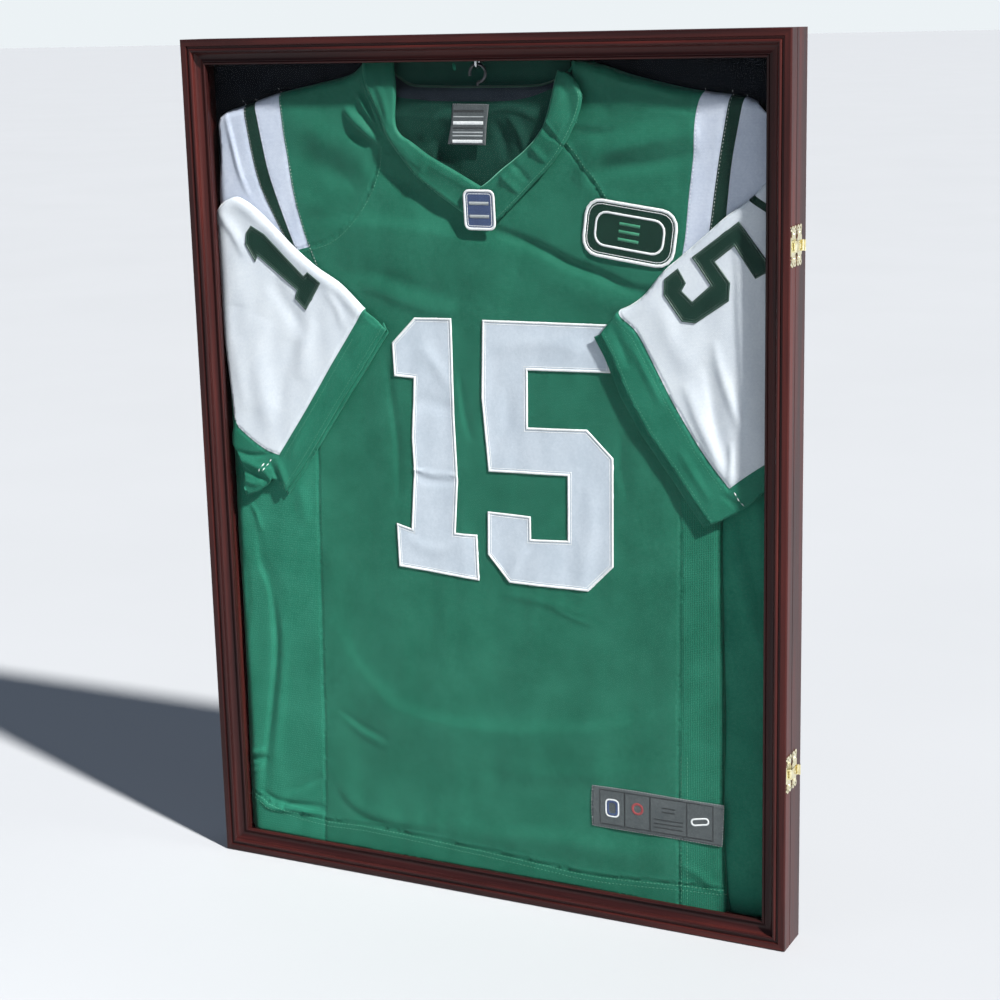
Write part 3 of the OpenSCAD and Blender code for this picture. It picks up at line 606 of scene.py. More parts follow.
def stitches(name, runs, material):
    """Rows of stitches. A run is a line, the relief it lies on, the stitch, the gap and the radius."""
    vertices, faces = [], []
    count = 0
    for line, proud, length, gap, radius in runs:
        points = resample(line, 0.4)
        reach = np.concatenate([[0], np.cumsum(np.linalg.norm(np.diff(points, axis=0), axis=1))])
        starts = np.arange(0, max(reach[-1] - length, 0.01), length + gap)
        first, last = (
            np.column_stack([np.interp(starts + s, reach, points[:, k]) for k in (0, 1)])
            for s in (0, length)
        )
        middle = (first + last) / 2
        step = (last - first) / np.maximum(np.linalg.norm(last - first, axis=1, keepdims=True), 1e-6)
        side = np.column_stack([-step[:, 1], step[:, 0]]) * radius
        # six points to a stitch: its two ends, its two sides, its top and its underside
        ring = np.stack([first, last, middle + side, middle - side, middle, middle], axis=1)
        lift = np.array([-0.1, -0.1, 0.05, 0.05, radius * 1.3, -radius])
        x, h = ring[..., 0].ravel(), ring[..., 1].ravel()
        vertices.append(world(x, proud(x, h) + np.tile(lift, len(starts)), h))
        for k in range(count, count + 6 * len(starts), 6):
            for a, b in ((2, 4), (4, 3), (3, 5), (5, 2)):
                faces.append((k, k + a, k + b))
                faces.append((k + 1, k + b, k + a))
        count += 6 * len(starts)
    return link_mesh(name, np.concatenate(vertices), faces, [material])


# ---------------------------------------------------------------- the garment's lines

# Each line is a given run of points (x, h), with L and R for the picture's left and right.
# The collar's inner and outer edges run from its top to the point of the V on the left, and from
# the point back up on the right.
NECK_INNER_L = [
    (-86, 804), (-82, 790), (-80, 778), (-82, 749), (-77, 737), (-66, 730), (-47, 717), (-20, 703),
    (4, 690),
]
NECK_OUTER_L = [
    (-119, 803), (-113, 782), (-101, 757), (-92, 735), (-76, 713), (-58, 694), (-17, 666), (4, 651),
]
NECK_INNER_R = [
    (4, 690), (13, 696), (24, 705), (41, 717), (51, 725), (61, 735), (70, 749), (77, 771), (82, 793),
]
NECK_OUTER_R = [
    (4, 651), (22, 661), (56, 692), (76, 711), (89, 728), (101, 749), (107, 768), (103, 781), (95, 790),
]
SHOULDER_L = [
    (-119, 803), (-125, 797), (-137, 790), (-170, 783), (-215, 774), (-252, 763), (-271, 758),
    (-279, 754),
]
SHOULDER_R = [
    (96, 802), (110, 800), (127, 796), (152, 788), (194, 778), (217, 774), (242, 771), (256, 769),
    (266, 765),
]
LEFT_EDGE = [
    (-281, 744), (-280, 715), (-284, 690), (-288, 660), (-288.5, 540), (-288, 450), (-289, 331),
    (-288, 249),
]
LOW_EDGE = [(-289, 135), (-289.5, 22), (-285, 17), (-100, 16.5), (80, 17), (193, 15.5), (236, 16)]
FOLD_EDGE = [(242, 19), (238, 57), (236, 130), (237.5, 208), (235, 300), (234, 393), (238, 450)]
RIGHT_EDGE = [(256, 480), (282, 500), (288, 560), (288, 700), (286, 742), (276, 755)]
# The front's outline runs round the shirt from the left shoulder, and ends under the collar's band.
FRONT_OUTLINE = np.concatenate(
    [
        smooth(SHOULDER_L, steps=4),
        smooth(LEFT_EDGE + LOW_EDGE[:2], steps=4),
        LOW_EDGE[2:],
        smooth(FOLD_EDGE, steps=4),
        smooth(RIGHT_EDGE, steps=4),
        smooth(SHOULDER_R[::-1], steps=4),
        smooth([(95, 792), (97, 770), (88, 742), (70, 722), (40, 696), (4, 670)], steps=4),
        smooth([(-30, 690), (-66, 718), (-87, 742), (-96, 770), (-104, 802)], steps=4),
    ]
)
RAGLAN_L = smooth([
    (-101, 742), (-104, 722), (-108, 703), (-118, 680), (-139, 653), (-163, 636), (-195, 627),
    (-206, 624),
])
RAGLAN_R = smooth([(69, 749), (86, 728), (112, 697), (126, 678), (150, 650), (176, 622), (200, 600)])
# A shoulder is white outward of the stripe line nearest the neck, with a dark stripe between the
# other two lines.
STRIPES_L = [
    smooth([(-254, 770), (-252, 762), (-245, 717), (-238, 688), (-226, 662), (-212, 636), (-196, 610)]),
    smooth([(-241, 772), (-239, 764), (-233, 730), (-227, 700), (-216, 667), (-203, 633), (-190, 606)]),
    smooth([(-214, 780), (-212, 774), (-207, 730), (-201, 685), (-193, 651), (-186, 630), (-176, 606)]),
]
STRIPES_R = [
    smooth([(218, 780), (217, 774), (211, 755), (208, 715), (204, 682), (200, 645), (192, 606)]),
    smooth([(244, 776), (242, 770), (233, 721), (228, 690), (223, 655), (215, 610)]),
    smooth([(258, 774), (255, 768), (249, 740), (244, 713), (240, 680), (236, 640)]),
]
# The side panels' seams and the top of the hem.
SEAM_L = smooth([(-184, 470), (-185, 439), (-188, 353), (-190, 237), (-193, 120), (-197, 41), (-198, 17)])
SEAM_R = smooth([(197, 470), (196, 433), (195, 293), (194, 200), (193, 100), (193, 31), (193, 15)])
HEM_TOP = smooth([
    (-289, 60), (-272, 54), (-257, 47), (-196, 41), (-139, 42), (4, 37), (100, 32), (193, 38),
    (240, 41),
])

# A fold's line, its width, its height, and where they matter its width on the line's left and how
# sharply its ends fade.
FRONT_FOLDS = [
    # pleats beside the left of the collar
    ([(-140, 760), (-123, 745), (-101, 727)], 2.4, 3.8, 6.5),
    ([(-119, 788), (-107, 764), (-99, 745), (-88, 728)], 2.2, 4.2, 6.0),
    ([(-126, 774), (-108, 748), (-98, 730)], 1.8, 2.6, 3.8),
    ([(-138, 744), (-126, 735), (-114, 726)], 6.0, -1.2),
    # the hollow under the left arm of the collar
    ([(-120, 722), (-92, 698), (-50, 678), (-14, 660)], 12.0, -1.7),
    # the fold down the left shoulder's outer stripe
    ([(-273, 762), (-266, 732), (-258, 698), (-249, 676)], 3.2, 1.0, 1.6),
    # shoulder on the left
    ([(-205, 753), (-157, 731), (-112, 714)], 15.0, 1.6),
    ([(-208, 716), (-168, 706), (-120, 684)], 12.0, -1.0),
    ([(-198, 676), (-165, 668), (-138, 690)], 10.0, 0.9),
    # chest, left to right above the numerals
    ([(-160, 600), (-140, 590), (-115, 592), (-91, 583), (-44, 572), (-10, 575)], 6.0, 0.8, 11.0),
    ([(-160, 605), (-114, 606), (-79, 597), (-20, 584)], 8.0, -0.6),
    ([(-190, 640), (-158, 645), (-116, 648), (-72, 646), (-41, 642), (0, 634), (40, 622)], 48.0, 2.4, 12.0),
    ([(2, 652), (32, 645), (62, 634), (91, 621), (120, 612), (149, 601), (180, 598)], 6.0, -2.1, 4.5),
    ([(60, 606), (85, 600), (116, 592), (144, 584), (168, 584)], 12.0, 0.7),
    # shoulder on the right
    ([(95, 694), (121, 719), (150, 727), (178, 733), (214, 741)], 7.0, 1.9, 10.0),
    ([(100, 735), (121, 741), (154, 752), (205, 758)], 6.0, -1.7, 8.0),
    ([(104, 694), (121, 705), (150, 710), (178, 714), (214, 722)], 8.0, -1.6, 6.0),
    ([(115, 790), (154, 780), (175, 776), (208, 767)], 3.0, 0.9),
    ([(112, 780), (125, 765), (128, 745)], 4.0, -1.0),
    ([(118, 690), (134, 680), (160, 676), (196, 690)], 7.0, 0.8),
    # beside the numerals
    ([(-106, 530), (-104, 510), (-101, 482), (-97, 443), (-97, 384)], 2.6, -0.8, 5.0),
    ([(-26, 520), (-26, 506), (-23, 476), (-15, 448)], 2.6, -0.8, 5.0),
    ([(-185, 312), (-160, 331), (-130, 352)], 9.0, 0.8),
    ([(138, 470), (136, 437), (144, 404)], 4.0, -0.7, 7.0),
    ([(150, 350), (172, 364), (196, 384)], 6.0, 0.8),
    ([(10, 303), (58, 300), (106, 290)], 4.0, 0.8, 6.0),
    ([(64, 296), (86, 288), (108, 283)], 2.6, 0.7),
    # creases across the numerals
    ([(-84, 421), (-60, 416), (-30, 417)], 1.8, 1.0),
    ([(-82, 414), (-60, 409), (-30, 411)], 4.0, -0.7),
    ([(-80, 480), (-62, 486), (-34, 478)], 8.0, -0.6),
    ([(-90, 350), (-60, 340), (-30, 352), (-24, 366)], 6.0, 0.6),
    ([(-66, 540), (-50, 520), (-38, 500)], 7.0, 0.6),
    ([(18, 320), (30, 336), (42, 352)], 3.0, 0.8, 6.0),
    ([(6, 540), (60, 548), (120, 540)], 9.0, 0.5),
    ([(96, 330), (108, 370), (104, 420)], 8.0, 0.6),
    ([(6, 440), (22, 470), (24, 510)], 7.0, -0.6),
    # the swooping folds below the numerals
    ([(-184, 262), (-158, 215), (-130, 188), (-103, 169), (-47, 162),
      (8, 163), (61, 169), (114, 178), (165, 196), (194, 214)], 36.0, 2.8, 10.0),
    ([(-176, 164), (-169, 159), (-148, 147), (-120, 138)], 2.2, -0.8, 4.5),
    ([(-170, 154), (-148, 141), (-118, 130)], 5.0, 0.9),
    ([(7, 122), (102, 134), (186, 155)], 9.0, 0.9),
    ([(-186, 104), (-180, 88), (-163, 63), (-113, 52), (-60, 58)], 6.0, 1.0, 10.0),
    ([(-184, 74), (-157, 51), (-113, 43), (-62, 46)], 4.0, -0.8, 5.0),
    ([(-70, 55), (5, 55), (60, 61), (112, 60), (164, 65), (206, 76)], 14.0, 2.0, 11.0),
    ([(-284, 12), (-190, 12), (-100, 10), (0, 8), (80, 7), (230, 6)], 8.0, 2.4, 16.0, 0.3),
    ([(190, 60), (215, 48), (240, 34)], 5.0, 1.0),
    # the fold down the left side and the crumple at its foot
    ([(-262, 345), (-260, 309), (-249, 278), (-247, 219),
      (-258, 144), (-270, 69), (-266, 58)], 3.4, -2.2, 9.0),
    ([(-255, 300), (-240, 250), (-241, 200), (-250, 144), (-262, 80)], 7.0, 1.8),
    ([(-280, 320), (-278, 270), (-283, 226)], 4.0, -0.9),
    ([(-250, 49), (-234, 65), (-198, 88)], 3.0, -2.2, 7.0),
    ([(-274, 60), (-248, 50), (-198, 54)], 2.6, -2.4, 4.0),
    ([(-276, 51), (-263, 43), (-230, 46), (-195, 46)], 3.0, 2.2),
    ([(-288, 93), (-276, 95), (-264, 99)], 2.4, -2.2),
    ([(-288, 101), (-276, 103), (-266, 108)], 2.6, 2.0),
    ([(-286, 80), (-276, 84), (-270, 92)], 2.0, 1.6),
    ([(-215, 400), (-206, 380), (-203, 350)], 7.0, 0.8),
    ([(-270, 370), (-262, 360), (-257, 340)], 3.0, 1.0),
]
# Each seam's line, and the depth, width and lip of its groove.
FRONT_SEAMS = [
    (RAGLAN_L, 1.3, 0.9, 0.8),
    (RAGLAN_R, 1.3, 0.9, 0.8),
    (SEAM_L, 0.9, 0.8, 0.25),
    (SEAM_R, 1.1, 0.9, 0.3),
    (HEM_TOP, 1.1, 0.9, 0.6),
    *[(line, 0.5, 0.7, 0.25) for line in STRIPES_L + STRIPES_R],
]
# The hanger's half width, its bar's height in the middle and at its ends, and how far forward it
# and the shirt lie.
HANGER_REACH = 195
HANGER_HEIGHTS = [767, 745.5]
HANGER_FRONT = 18.3
CHEST_FRONT = 16.9
YOKE_FRONT = 18.2
MOST_FORWARD = 22.2
MOST_FORWARD_AT_NECK = 24.4
# How wide a strip rolls back where the shirt meets the frame's sides, and how far.
SIDE_ROLL = (12, 8.5)
front_slow = ripples(3, 120, 1.1, 3.0)
front_fine = ripples(11, 34, 0.22, 2.4)


def over_hanger(x, h):
    """How far forward the hanger's bar holds the cloth, falling away above and below the bar."""
    middle = np.interp(np.abs(x), [0, HANGER_REACH], HANGER_HEIGHTS)
    away = np.hypot(np.maximum(np.abs(x) - HANGER_REACH, 0), h - middle)
    return HANGER_FRONT - 9 * np.clip((away - 9) / 22, 0, 1) ** 1.5


def front_proud(x, h):
    """The shirt's front: ripples, folds and seams, rolled back at its edges, held by the hanger."""
    out = np.interp(h, [640, 730], [CHEST_FRONT, YOKE_FRONT]) + front_fine(x, h)
    out += front_slow(x, h) * np.clip((h - 20) / 120, 0.3, 1)
    out += np.interp(h, [300, 560], [1.1, 1.6]) * folds(x, h, FRONT_FOLDS)
    for line, depth, width, lip in FRONT_SEAMS:
        out += groove(x, h, line, depth, width, lip)
    for to_side in (x + INSIDE_X - 2, INSIDE_X - 2 - x):
        out -= roll(to_side, *SIDE_ROLL)
    for edge, here, width, drop in (
        (SHOULDER_L, x < -110, 9, 7.0), (SHOULDER_R, x > 96, 9, 7.0), (FOLD_EDGE, h < 460, 7, 5.5)
    ):
        out -= np.where(here, roll(side_of(smooth(edge), x, h), width, drop), 0)
    out = np.logaddexp(2 * out, 2 * over_hanger(x, h)) / 2
    most = np.where((h > 640) & (np.abs(x) < 150), MOST_FORWARD_AT_NECK, MOST_FORWARD)
    return np.clip(out, FELT_FRONT + 2.5, most)


def front_paint(x, h):
    """0 knit, 1 white stripe, 2 dark stripe, 3 mesh side panel, 4 ribbed side panel."""
    skin = np.zeros(len(x), int)
    outer, dark, inner = (side_of(line, x, h) for line in STRIPES_L)
    where = (x < -150) & (h > 610)
    skin[where & (inner < 0)] = 1
    skin[where & (outer > 0) & (dark < 0)] = 2
    skin[where & (side_of(RAGLAN_L, x, h) > 0)] = 0
    inner, dark, outer = (side_of(line, x, h) for line in STRIPES_R)
    where = (x > 150) & (h > 610)
    skin[where & (inner > 0)] = 1
    skin[where & (dark > 0) & (outer < 0)] = 2
    skin[(h < 560) & (side_of(SEAM_L, x, h) < 0)] = 4
    skin[(h < 560) & (side_of(SEAM_R, x, h) > 0)] = 3
    return skin


def lines_of(table):
    """The lines that a table of folds or seams follows."""
    return [row[0] for row in table]


front_skins = [knit_green, stripe_white, trim_green, mesh_green, side_green]
jersey_front = cloth("jersey_front", FRONT_OUTLINE, front_proud, 2.4, front_skins, front_paint,
                     lines_of(FRONT_SEAMS), lines_of(FRONT_FOLDS), 0.7)

# ---------------------------------------------------------------- back of the garment and the neck

BACK_OUTLINE = np.concatenate(
    [
        smooth([(-118, 800), (-137, 787), (-170, 780), (-215, 771), (-250, 760), (-275, 750)], steps=3),
        smooth([(-284, 720), (-287, 660), (-288, 400), (-288, 130), (-288, 20)], steps=3),
        [(-284, 16), (0, 15.5), (284, 15.5), (288.5, 20)],
        smooth([(289, 130), (289, 400), (288, 660), (284, 720), (276, 752)], steps=3),
        smooth([(262, 762), (217, 771), (194, 775), (152, 785), (124, 794), (112, 800)], steps=3),
    ]
)
BACK_FOLDS = [
    ([(262, 440), (264, 408), (268, 392), (271, 360)], 4.0, 1.8, 7.0),
    ([(236, 400), (240, 377), (251, 328), (270, 270), (280, 220)], 4.0, 2.0, 9.0),
    ([(247, 400), (250, 385), (262, 345), (276, 300)], 4.0, -1.6, 8.0),
    ([(240, 250), (256, 200), (276, 150)], 8.0, 1.6, 12.0),
    ([(238, 130), (252, 100), (270, 84), (287, 80)], 6.0, 1.5, 9.0),
    ([(238, 60), (252, 45), (270, 58), (286, 62)], 5.0, -1.5, 9.0),
    ([(238, 34), (256, 30), (286, 42)], 5.0, 1.5),
]
BACK_FRONT = 9.6
BACK_MOST_FORWARD = 14.5
back_slow = ripples(5, 90, 0.6, 2.5)


def back_proud(x, h):
    """The shirt's back, a little further forward in the strip that shows on the right."""
    out = BACK_FRONT + back_slow(x, h) + folds(x, h, BACK_FOLDS)
    out += np.where((x > 225) & (h < 520), 1.2, -0.6)
    return np.clip(out, FELT_FRONT + 1.2, BACK_MOST_FORWARD)


jersey_back = cloth("jersey_back", BACK_OUTLINE, back_proud, 4.0, [back_green_painted_light],
                    detail=lines_of(BACK_FOLDS), thick=0.7)

# The section of the neck's inside, from low to high: heights, and how far forward it lies there.
INSIDE_HEIGHTS = [600, 700, 730, 744, 752, 775, 778, 781, 784, 788, 810]
INSIDE_FRONTS = [13.0, 13.4, 15.2, 17.0, 18.2, HANGER_FRONT, 17.6, 14.0, 11.0, 9.6, 9.0]
TAPE_TOP = smooth([
    (-92, 796), (-84, 788), (-68, 781), (-40, 779.5), (-5, 779), (52, 779.5), (70, 782), (86, 790),
    (94, 798),
])
TAPE_LOW = smooth([
    (-92, 780), (-84, 771), (-60, 768), (-40, 766.5), (13, 766), (45, 768), (70, 775), (94, 786),
])
INSIDE_OUTLINE = [
    (-104, 804), (-94, 765), (-86, 730), (-56, 704), (4, 668), (50, 700), (82, 728), (94, 762),
    (90, 804),
]
INSIDE_FOLDS = [
    ([(-62, 732), (-50, 742), (-39, 752), (-24, 757)], 6.0, 2.0, 3.0),
    ([(-60, 720), (-44, 736), (-30, 746)], 6.0, -2.0),
    ([(10, 756), (28, 759), (45, 757), (60, 750)], 3.0, 1.8, 8.0),
    ([(30, 755), (36, 746), (42, 735), (46, 718)], 3.0, 2.0, 6.0),
    ([(16, 750), (24, 735), (28, 712)], 5.0, -1.8),
    ([(-42, 735), (-42, 716), (-20, 704)], 5.0, -1.8, 9.0),
    ([(-70, 760), (-50, 762), (-30, 760)], 4.0, 1.0),
    ([(-58, 806), (-56, 796), (-50, 786)], 4.0, 1.2),
    ([(52, 806), (50, 796), (56, 786)], 5.0, 1.2),
    ([(-30, 804), (-26, 794), (-28, 786)], 5.0, -0.8),
]


def inside_proud(x, h):
    """The inside of the neck: upright behind the hook, over the hanger's bar, falling away below."""
    bow = np.clip(1 - (x / 105) ** 2, 0, 1)
    out = np.interp(h, INSIDE_HEIGHTS, INSIDE_FRONTS) + 0.6 * bow + folds(x, h, INSIDE_FOLDS)
    out += groove(x, h, TAPE_TOP, 0.5, 0.8) + groove(x, h, TAPE_LOW, 0.5, 0.7, 0.2)
    return np.clip(out, FELT_FRONT + 1.6, 20.4)


def inside_paint(x, h):
    """1 where the tape covers the neck seam, or else 0."""
    taped = (side_of(TAPE_TOP, x, h) < 0) & (side_of(TAPE_LOW, x, h) > 0) & (np.abs(x) < 90)
    return taped.astype(int)


def on(proud, lift):
    """A relief a little in front of another one."""
    return lambda x, h: proud(x, h) + lift


# The neck's inside wears the darker green, which is painted shade.
neck_inside = cloth("jersey_neck_inside", INSIDE_OUTLINE, inside_proud, 2.0, [shaded_inner_green, tape_slate],
                    inside_paint, [TAPE_TOP, TAPE_LOW], lines_of(INSIDE_FOLDS), 0.6)
piping_line = TAPE_TOP[np.abs(TAPE_TOP[:, 0]) < 88]
neck_piping = raised_band("neck_piping", piping_line, on(inside_proud, 0.2), 2.0, 0.9, thread_shadow,
                          1.2, closed=False)


COLLAR_HEIGHTS = [651, 700, 745]
COLLAR_FRONTS = [21.4, 23.6, 25.4]
COLLAR_MOST_FORWARD = 27.4


def collar_proud(inner, outer):
    """A doubled band: rolled at its inner edge, sewn down at its outer edge, turned back at its top."""

    def proud(x, h):
        from_inner = np.abs(side_of(inner, x, h))
        from_outer = np.abs(side_of(outer, x, h))
        out = np.interp(h, COLLAR_HEIGHTS, COLLAR_FRONTS) + front_fine(x, h)
        out += 0.8 * bell(from_inner - 7, 5)
        out -= roll(from_inner, 2.6, 2.2)
        out -= 1.6 * bell(from_outer, 1.6) - 0.5 * bell(from_outer - 3.4, 1.6)
        out += 1.6 * folds(x, h, COLLAR_FOLDS)
        out -= np.clip((h - 776) / 28, 0, 1) ** 2 * 9
        return np.minimum(out, COLLAR_MOST_FORWARD)

    return proud


COLLAR_FOLDS = [
    ([(-84, 730), (-70, 716), (-52, 702)], 3.0, 0.7, 5.0),
    ([(-100, 790), (-92, 765), (-88, 745)], 4.0, 0.9, 3.0),
    ([(70, 720), (84, 738), (92, 756)], 4.0, 0.8, 6.0),
    ([(40, 704), (52, 716), (62, 722)], 3.0, -0.8, 5.0),
    ([(54, 728), (62, 720), (72, 712)], 2.6, 1.0, 4.0),
    ([(66, 746), (74, 738), (84, 732)], 3.0, -0.9),
    ([(24, 702), (34, 692), (44, 684)], 2.6, 1.0, 4.0),
    ([(34, 714), (44, 704), (54, 694)], 3.0, -0.8),
    ([(-48, 716), (-56, 704), (-62, 694)], 4.0, 0.7, 2.6),
    ([(22, 690), (30, 698), (44, 704)], 3.0, 0.8),
    ([(86, 786), (94, 770), (94, 756)], 4.0, -0.6),
]
collar_inner_l, collar_outer_l = smooth(NECK_INNER_L), smooth(NECK_OUTER_L)
collar_inner_r, collar_outer_r = smooth(NECK_INNER_R), smooth(NECK_OUTER_R)
collar_loop_l = np.concatenate([collar_inner_l, collar_outer_l[::-1]])
collar_loop_r = np.concatenate([collar_inner_r, collar_outer_r[::-1]])
collar_left_proud = collar_proud(collar_inner_l, collar_outer_l)
collar_right_base = collar_proud(collar_inner_r, collar_outer_r)
COLLAR_SEAM = smooth([(69, 749), (78, 738), (86, 728), (94, 719)])


def collar_right_proud(x, h):
    """The right band lies over the left one at the point of the V, and has a seam across it."""
    over = 0.9 * np.clip(1 - (x - 4) / 18, 0, 1)
    return collar_right_base(x, h) + over + groove(x, h, COLLAR_SEAM, 0.8, 0.9, 0.5)


collar_left = cloth("collar_band_left", collar_loop_l, collar_left_proud, 1.6, [knit_green],
                    detail=[NECK_INNER_L, NECK_OUTER_L], thick=1.6)
collar_right = cloth("collar_band_right", collar_loop_r, collar_right_proud, 1.6, [knit_green],
                     lines=[COLLAR_SEAM], detail=[NECK_INNER_R, NECK_OUTER_R], thick=1.6)

LABEL = [(-24, 764), (13, 763.5), (10.5, 745), (9, 727), (-30, 728), (-26, 746)]


def label_proud(x, h):
    """The label hangs free, with a slow wave across it."""
    return 20.0 + 0.5 * np.sin((x + 20) / 14) + 0.3 * np.cos(h / 9)


neck_label = cloth("neck_label", LABEL, label_proud, 1.6, [tag_grey], thick=0.5)

# ---------------------------------------------------------------- folded sleeves

SLEEVE_L_TOP = [
    (-287, 664), (-278, 671), (-266, 676), (-257, 675), (-240, 665), (-218, 646), (-199, 629),
    (-175, 611), (-148, 595), (-124, 573),
]
SLEEVE_L_CUFF = [(-124, 573), (-142, 547), (-165, 514), (-196, 468), (-228, 423)]
SLEEVE_L_LOW = [(-228, 423), (-242, 427), (-258, 436), (-274, 448)]
SLEEVE_L_SIDE = [(-278, 461), (-282, 508), (-286, 545), (-287.5, 620), (-288, 650)]
CUFF_L_OUT = [(-101, 554), (-128, 516), (-154, 480), (-181, 441), (-204, 409), (-222, 386)]
CUFF_L_FOOT = [
    (-222, 386), (-229, 396), (-236, 399), (-243, 391), (-254, 384), (-268, 379), (-271, 388),
    (-270, 406), (-276, 420), (-282, 430),
]
SLEEVE_R_TOP = [
    (140, 583), (151, 588), (164, 598), (181, 618), (198, 632), (225, 655), (239, 667), (265, 686),
    (276, 697), (289, 707),
]
SLEEVE_R_CUFF = [(140, 583), (141, 577), (157, 562), (174, 532), (191, 501), (218, 459), (244, 427)]
SLEEVE_R_LOW = [(244, 427), (258, 438), (275, 450), (289, 459)]
CUFF_R_OUT = [(121, 560), (131, 542), (146, 507), (165, 475), (197, 432), (226, 392)]
CUFF_R_FOOT = [(226, 392), (236, 397), (250, 405), (261, 412), (275, 425), (289, 436)]
SLEEVE_FRONT = 23.6
SLEEVE_LEAST_FORWARD = 15.0
SLEEVE_MOST_FORWARD = 27.2
SLEEVE_MOST_FORWARD_AT_SIDE = 26.0
SLEEVE_L_FOLDS = [
    ([(-284, 664), (-276, 652), (-267, 640), (-255, 619)], 4.0, 1.0, 7.0),
    ([(-250, 640), (-262, 610), (-268, 570)], 12.0, 0.9),
    ([(-226, 598), (-221, 590), (-207, 568), (-188, 545)], 8.0, -0.9, 10.0),
    ([(-166, 590), (-152, 571), (-148, 552)], 5.0, 0.7),
    ([(-240, 560), (-248, 520), (-244, 480), (-236, 450)], 12.0, 1.1),
    ([(-270, 540), (-268, 500), (-262, 465)], 7.0, 0.8, 11.0),
    ([(-205, 540), (-214, 510), (-226, 470)], 9.0, -0.7),
    ([(-180, 560), (-194, 530), (-200, 500)], 8.0, 0.7),
    # the crumpled foot of the cuff
    ([(-280, 424), (-266, 421), (-252, 421), (-234, 424)], 2.4, -1.6),
    ([(-276, 415), (-262, 412), (-246, 407), (-232, 412)], 3.0, 1.8, 4.0),
    ([(-274, 404), (-260, 402), (-246, 398), (-238, 400)], 2.4, -1.6),
    ([(-250, 412), (-243, 402), (-236, 394), (-228, 388)], 2.6, 1.5, 4.0),
    ([(-240, 418), (-232, 404), (-226, 392)], 2.2, -1.4),
    ([(-230, 418), (-224, 402), (-220, 390)], 2.6, 1.3, 4.0),
    ([(-270, 394), (-258, 392), (-248, 394)], 3.0, 1.3),
    ([(-122, 569), (-111, 560), (-100, 556)], 2.2, -1.2, 3.4),
    ([(-118, 556), (-130, 541), (-140, 524)], 5.0, 0.7),
    ([(-158, 508), (-172, 488), (-184, 470)], 5.0, -0.6),
    ([(-190, 462), (-205, 440), (-216, 420)], 4.0, 0.8),
]
SLEEVE_R_FOLDS = [
    ([(244, 655), (252, 634), (254, 588), (257, 535), (262, 486), (260, 455)], 4.0, 1.2, 12.0),
    ([(262, 640), (270, 590), (274, 530), (276, 480)], 7.0, -0.9),
    ([(202, 520), (208, 506), (218, 481), (243, 434)], 5.0, 1.3, 8.0),
    ([(222, 540), (227, 510), (233, 474), (244, 440)], 5.0, -1.1, 8.0),
    ([(230, 560), (236, 534), (248, 499), (256, 480)], 5.0, 1.1),
    ([(180, 590), (190, 560), (204, 530)], 10.0, 0.9),
    ([(246, 470), (246, 450), (245, 430)], 3.0, 1.0),
    ([(150, 556), (164, 530), (182, 496)], 4.0, 0.9, 3.0),
    ([(134, 566), (142, 548), (150, 530)], 4.0, -0.9),
    ([(196, 460), (212, 436), (228, 412)], 4.0, 0.8),
    ([(236, 422), (250, 414), (262, 414)], 3.0, -0.8),
]


def sleeve_proud(table, top, cuff, side_x, low):
    """A sleeve folded over the front: rolled at its folded edge and where it meets the frame's side."""
    top, cuff, low = smooth(top), smooth(cuff), smooth(low)

    def proud(x, h):
        from_top = np.abs(side_of(top, x, h))
        out = SLEEVE_FRONT + front_fine(x, h) + 1.3 * folds(x, h, table)
        out += 1.1 * bell(from_top - 7, 6)
        out -= roll(from_top, 3.5, 3.4)
        out += groove(x, h, cuff, 1.3, 1.0) + groove(x, h, low, 1.3, 1.0)
        out -= roll(side_x - np.abs(x), 14, 7.0)
        most = np.where(np.abs(x) > 279, SLEEVE_MOST_FORWARD_AT_SIDE, SLEEVE_MOST_FORWARD)
        return np.clip(out, SLEEVE_LEAST_FORWARD, most)

    return proud


sleeve_left_proud = sleeve_proud(SLEEVE_L_FOLDS, SLEEVE_L_TOP, SLEEVE_L_CUFF, INSIDE_X - 1.5, SLEEVE_L_LOW)
sleeve_right_proud = sleeve_proud(SLEEVE_R_FOLDS, SLEEVE_R_TOP, SLEEVE_R_CUFF, INSIDE_X - 1.0, SLEEVE_R_LOW)
left_white = np.concatenate(
    [smooth(line) for line in (SLEEVE_L_TOP, SLEEVE_L_CUFF, SLEEVE_L_LOW, SLEEVE_L_SIDE)]
)
right_white = np.concatenate(
    [smooth(SLEEVE_R_TOP), [(289.5, 600)], smooth(SLEEVE_R_LOW)[::-1], smooth(SLEEVE_R_CUFF)[::-1]]
)
left_all = np.concatenate(
    [smooth(SLEEVE_L_TOP), CUFF_L_OUT, CUFF_L_FOOT, smooth([(-282, 440)] + SLEEVE_L_SIDE)]
)
right_all = np.concatenate(
    [smooth(SLEEVE_R_TOP), [(289.5, 600)], CUFF_R_FOOT[::-1], CUFF_R_OUT[::-1], [(129, 570)]]
)
TOP_STRIPE = [(254, 695), (292, 671), (292, 663), (254, 687)]


def sleeve_piece(name, outline, white, proud, lines, table):
    """A white sleeve with a green cuff past its seam, and the end of a dark stripe at its top."""

    def skins(x, h):
        skin = np.where(inside(white, x, h), 0, 1)
        return np.where(inside(TOP_STRIPE, x, h), 2, skin)

    return cloth(name, outline, proud, 2.2, [knit_white, cuff_green, trim_green], skins,
                 [smooth(line) for line in lines], lines_of(table) + [outline], 1.2)


sleeve_left = sleeve_piece("sleeve_left", left_all, left_white, sleeve_left_proud,
                           [SLEEVE_L_CUFF, SLEEVE_L_LOW], SLEEVE_L_FOLDS)
sleeve_right = sleeve_piece("sleeve_right", right_all, right_white, sleeve_right_proud,
                            [SLEEVE_R_CUFF, SLEEVE_R_LOW, TOP_STRIPE[:2], TOP_STRIPE[2:]], SLEEVE_R_FOLDS)


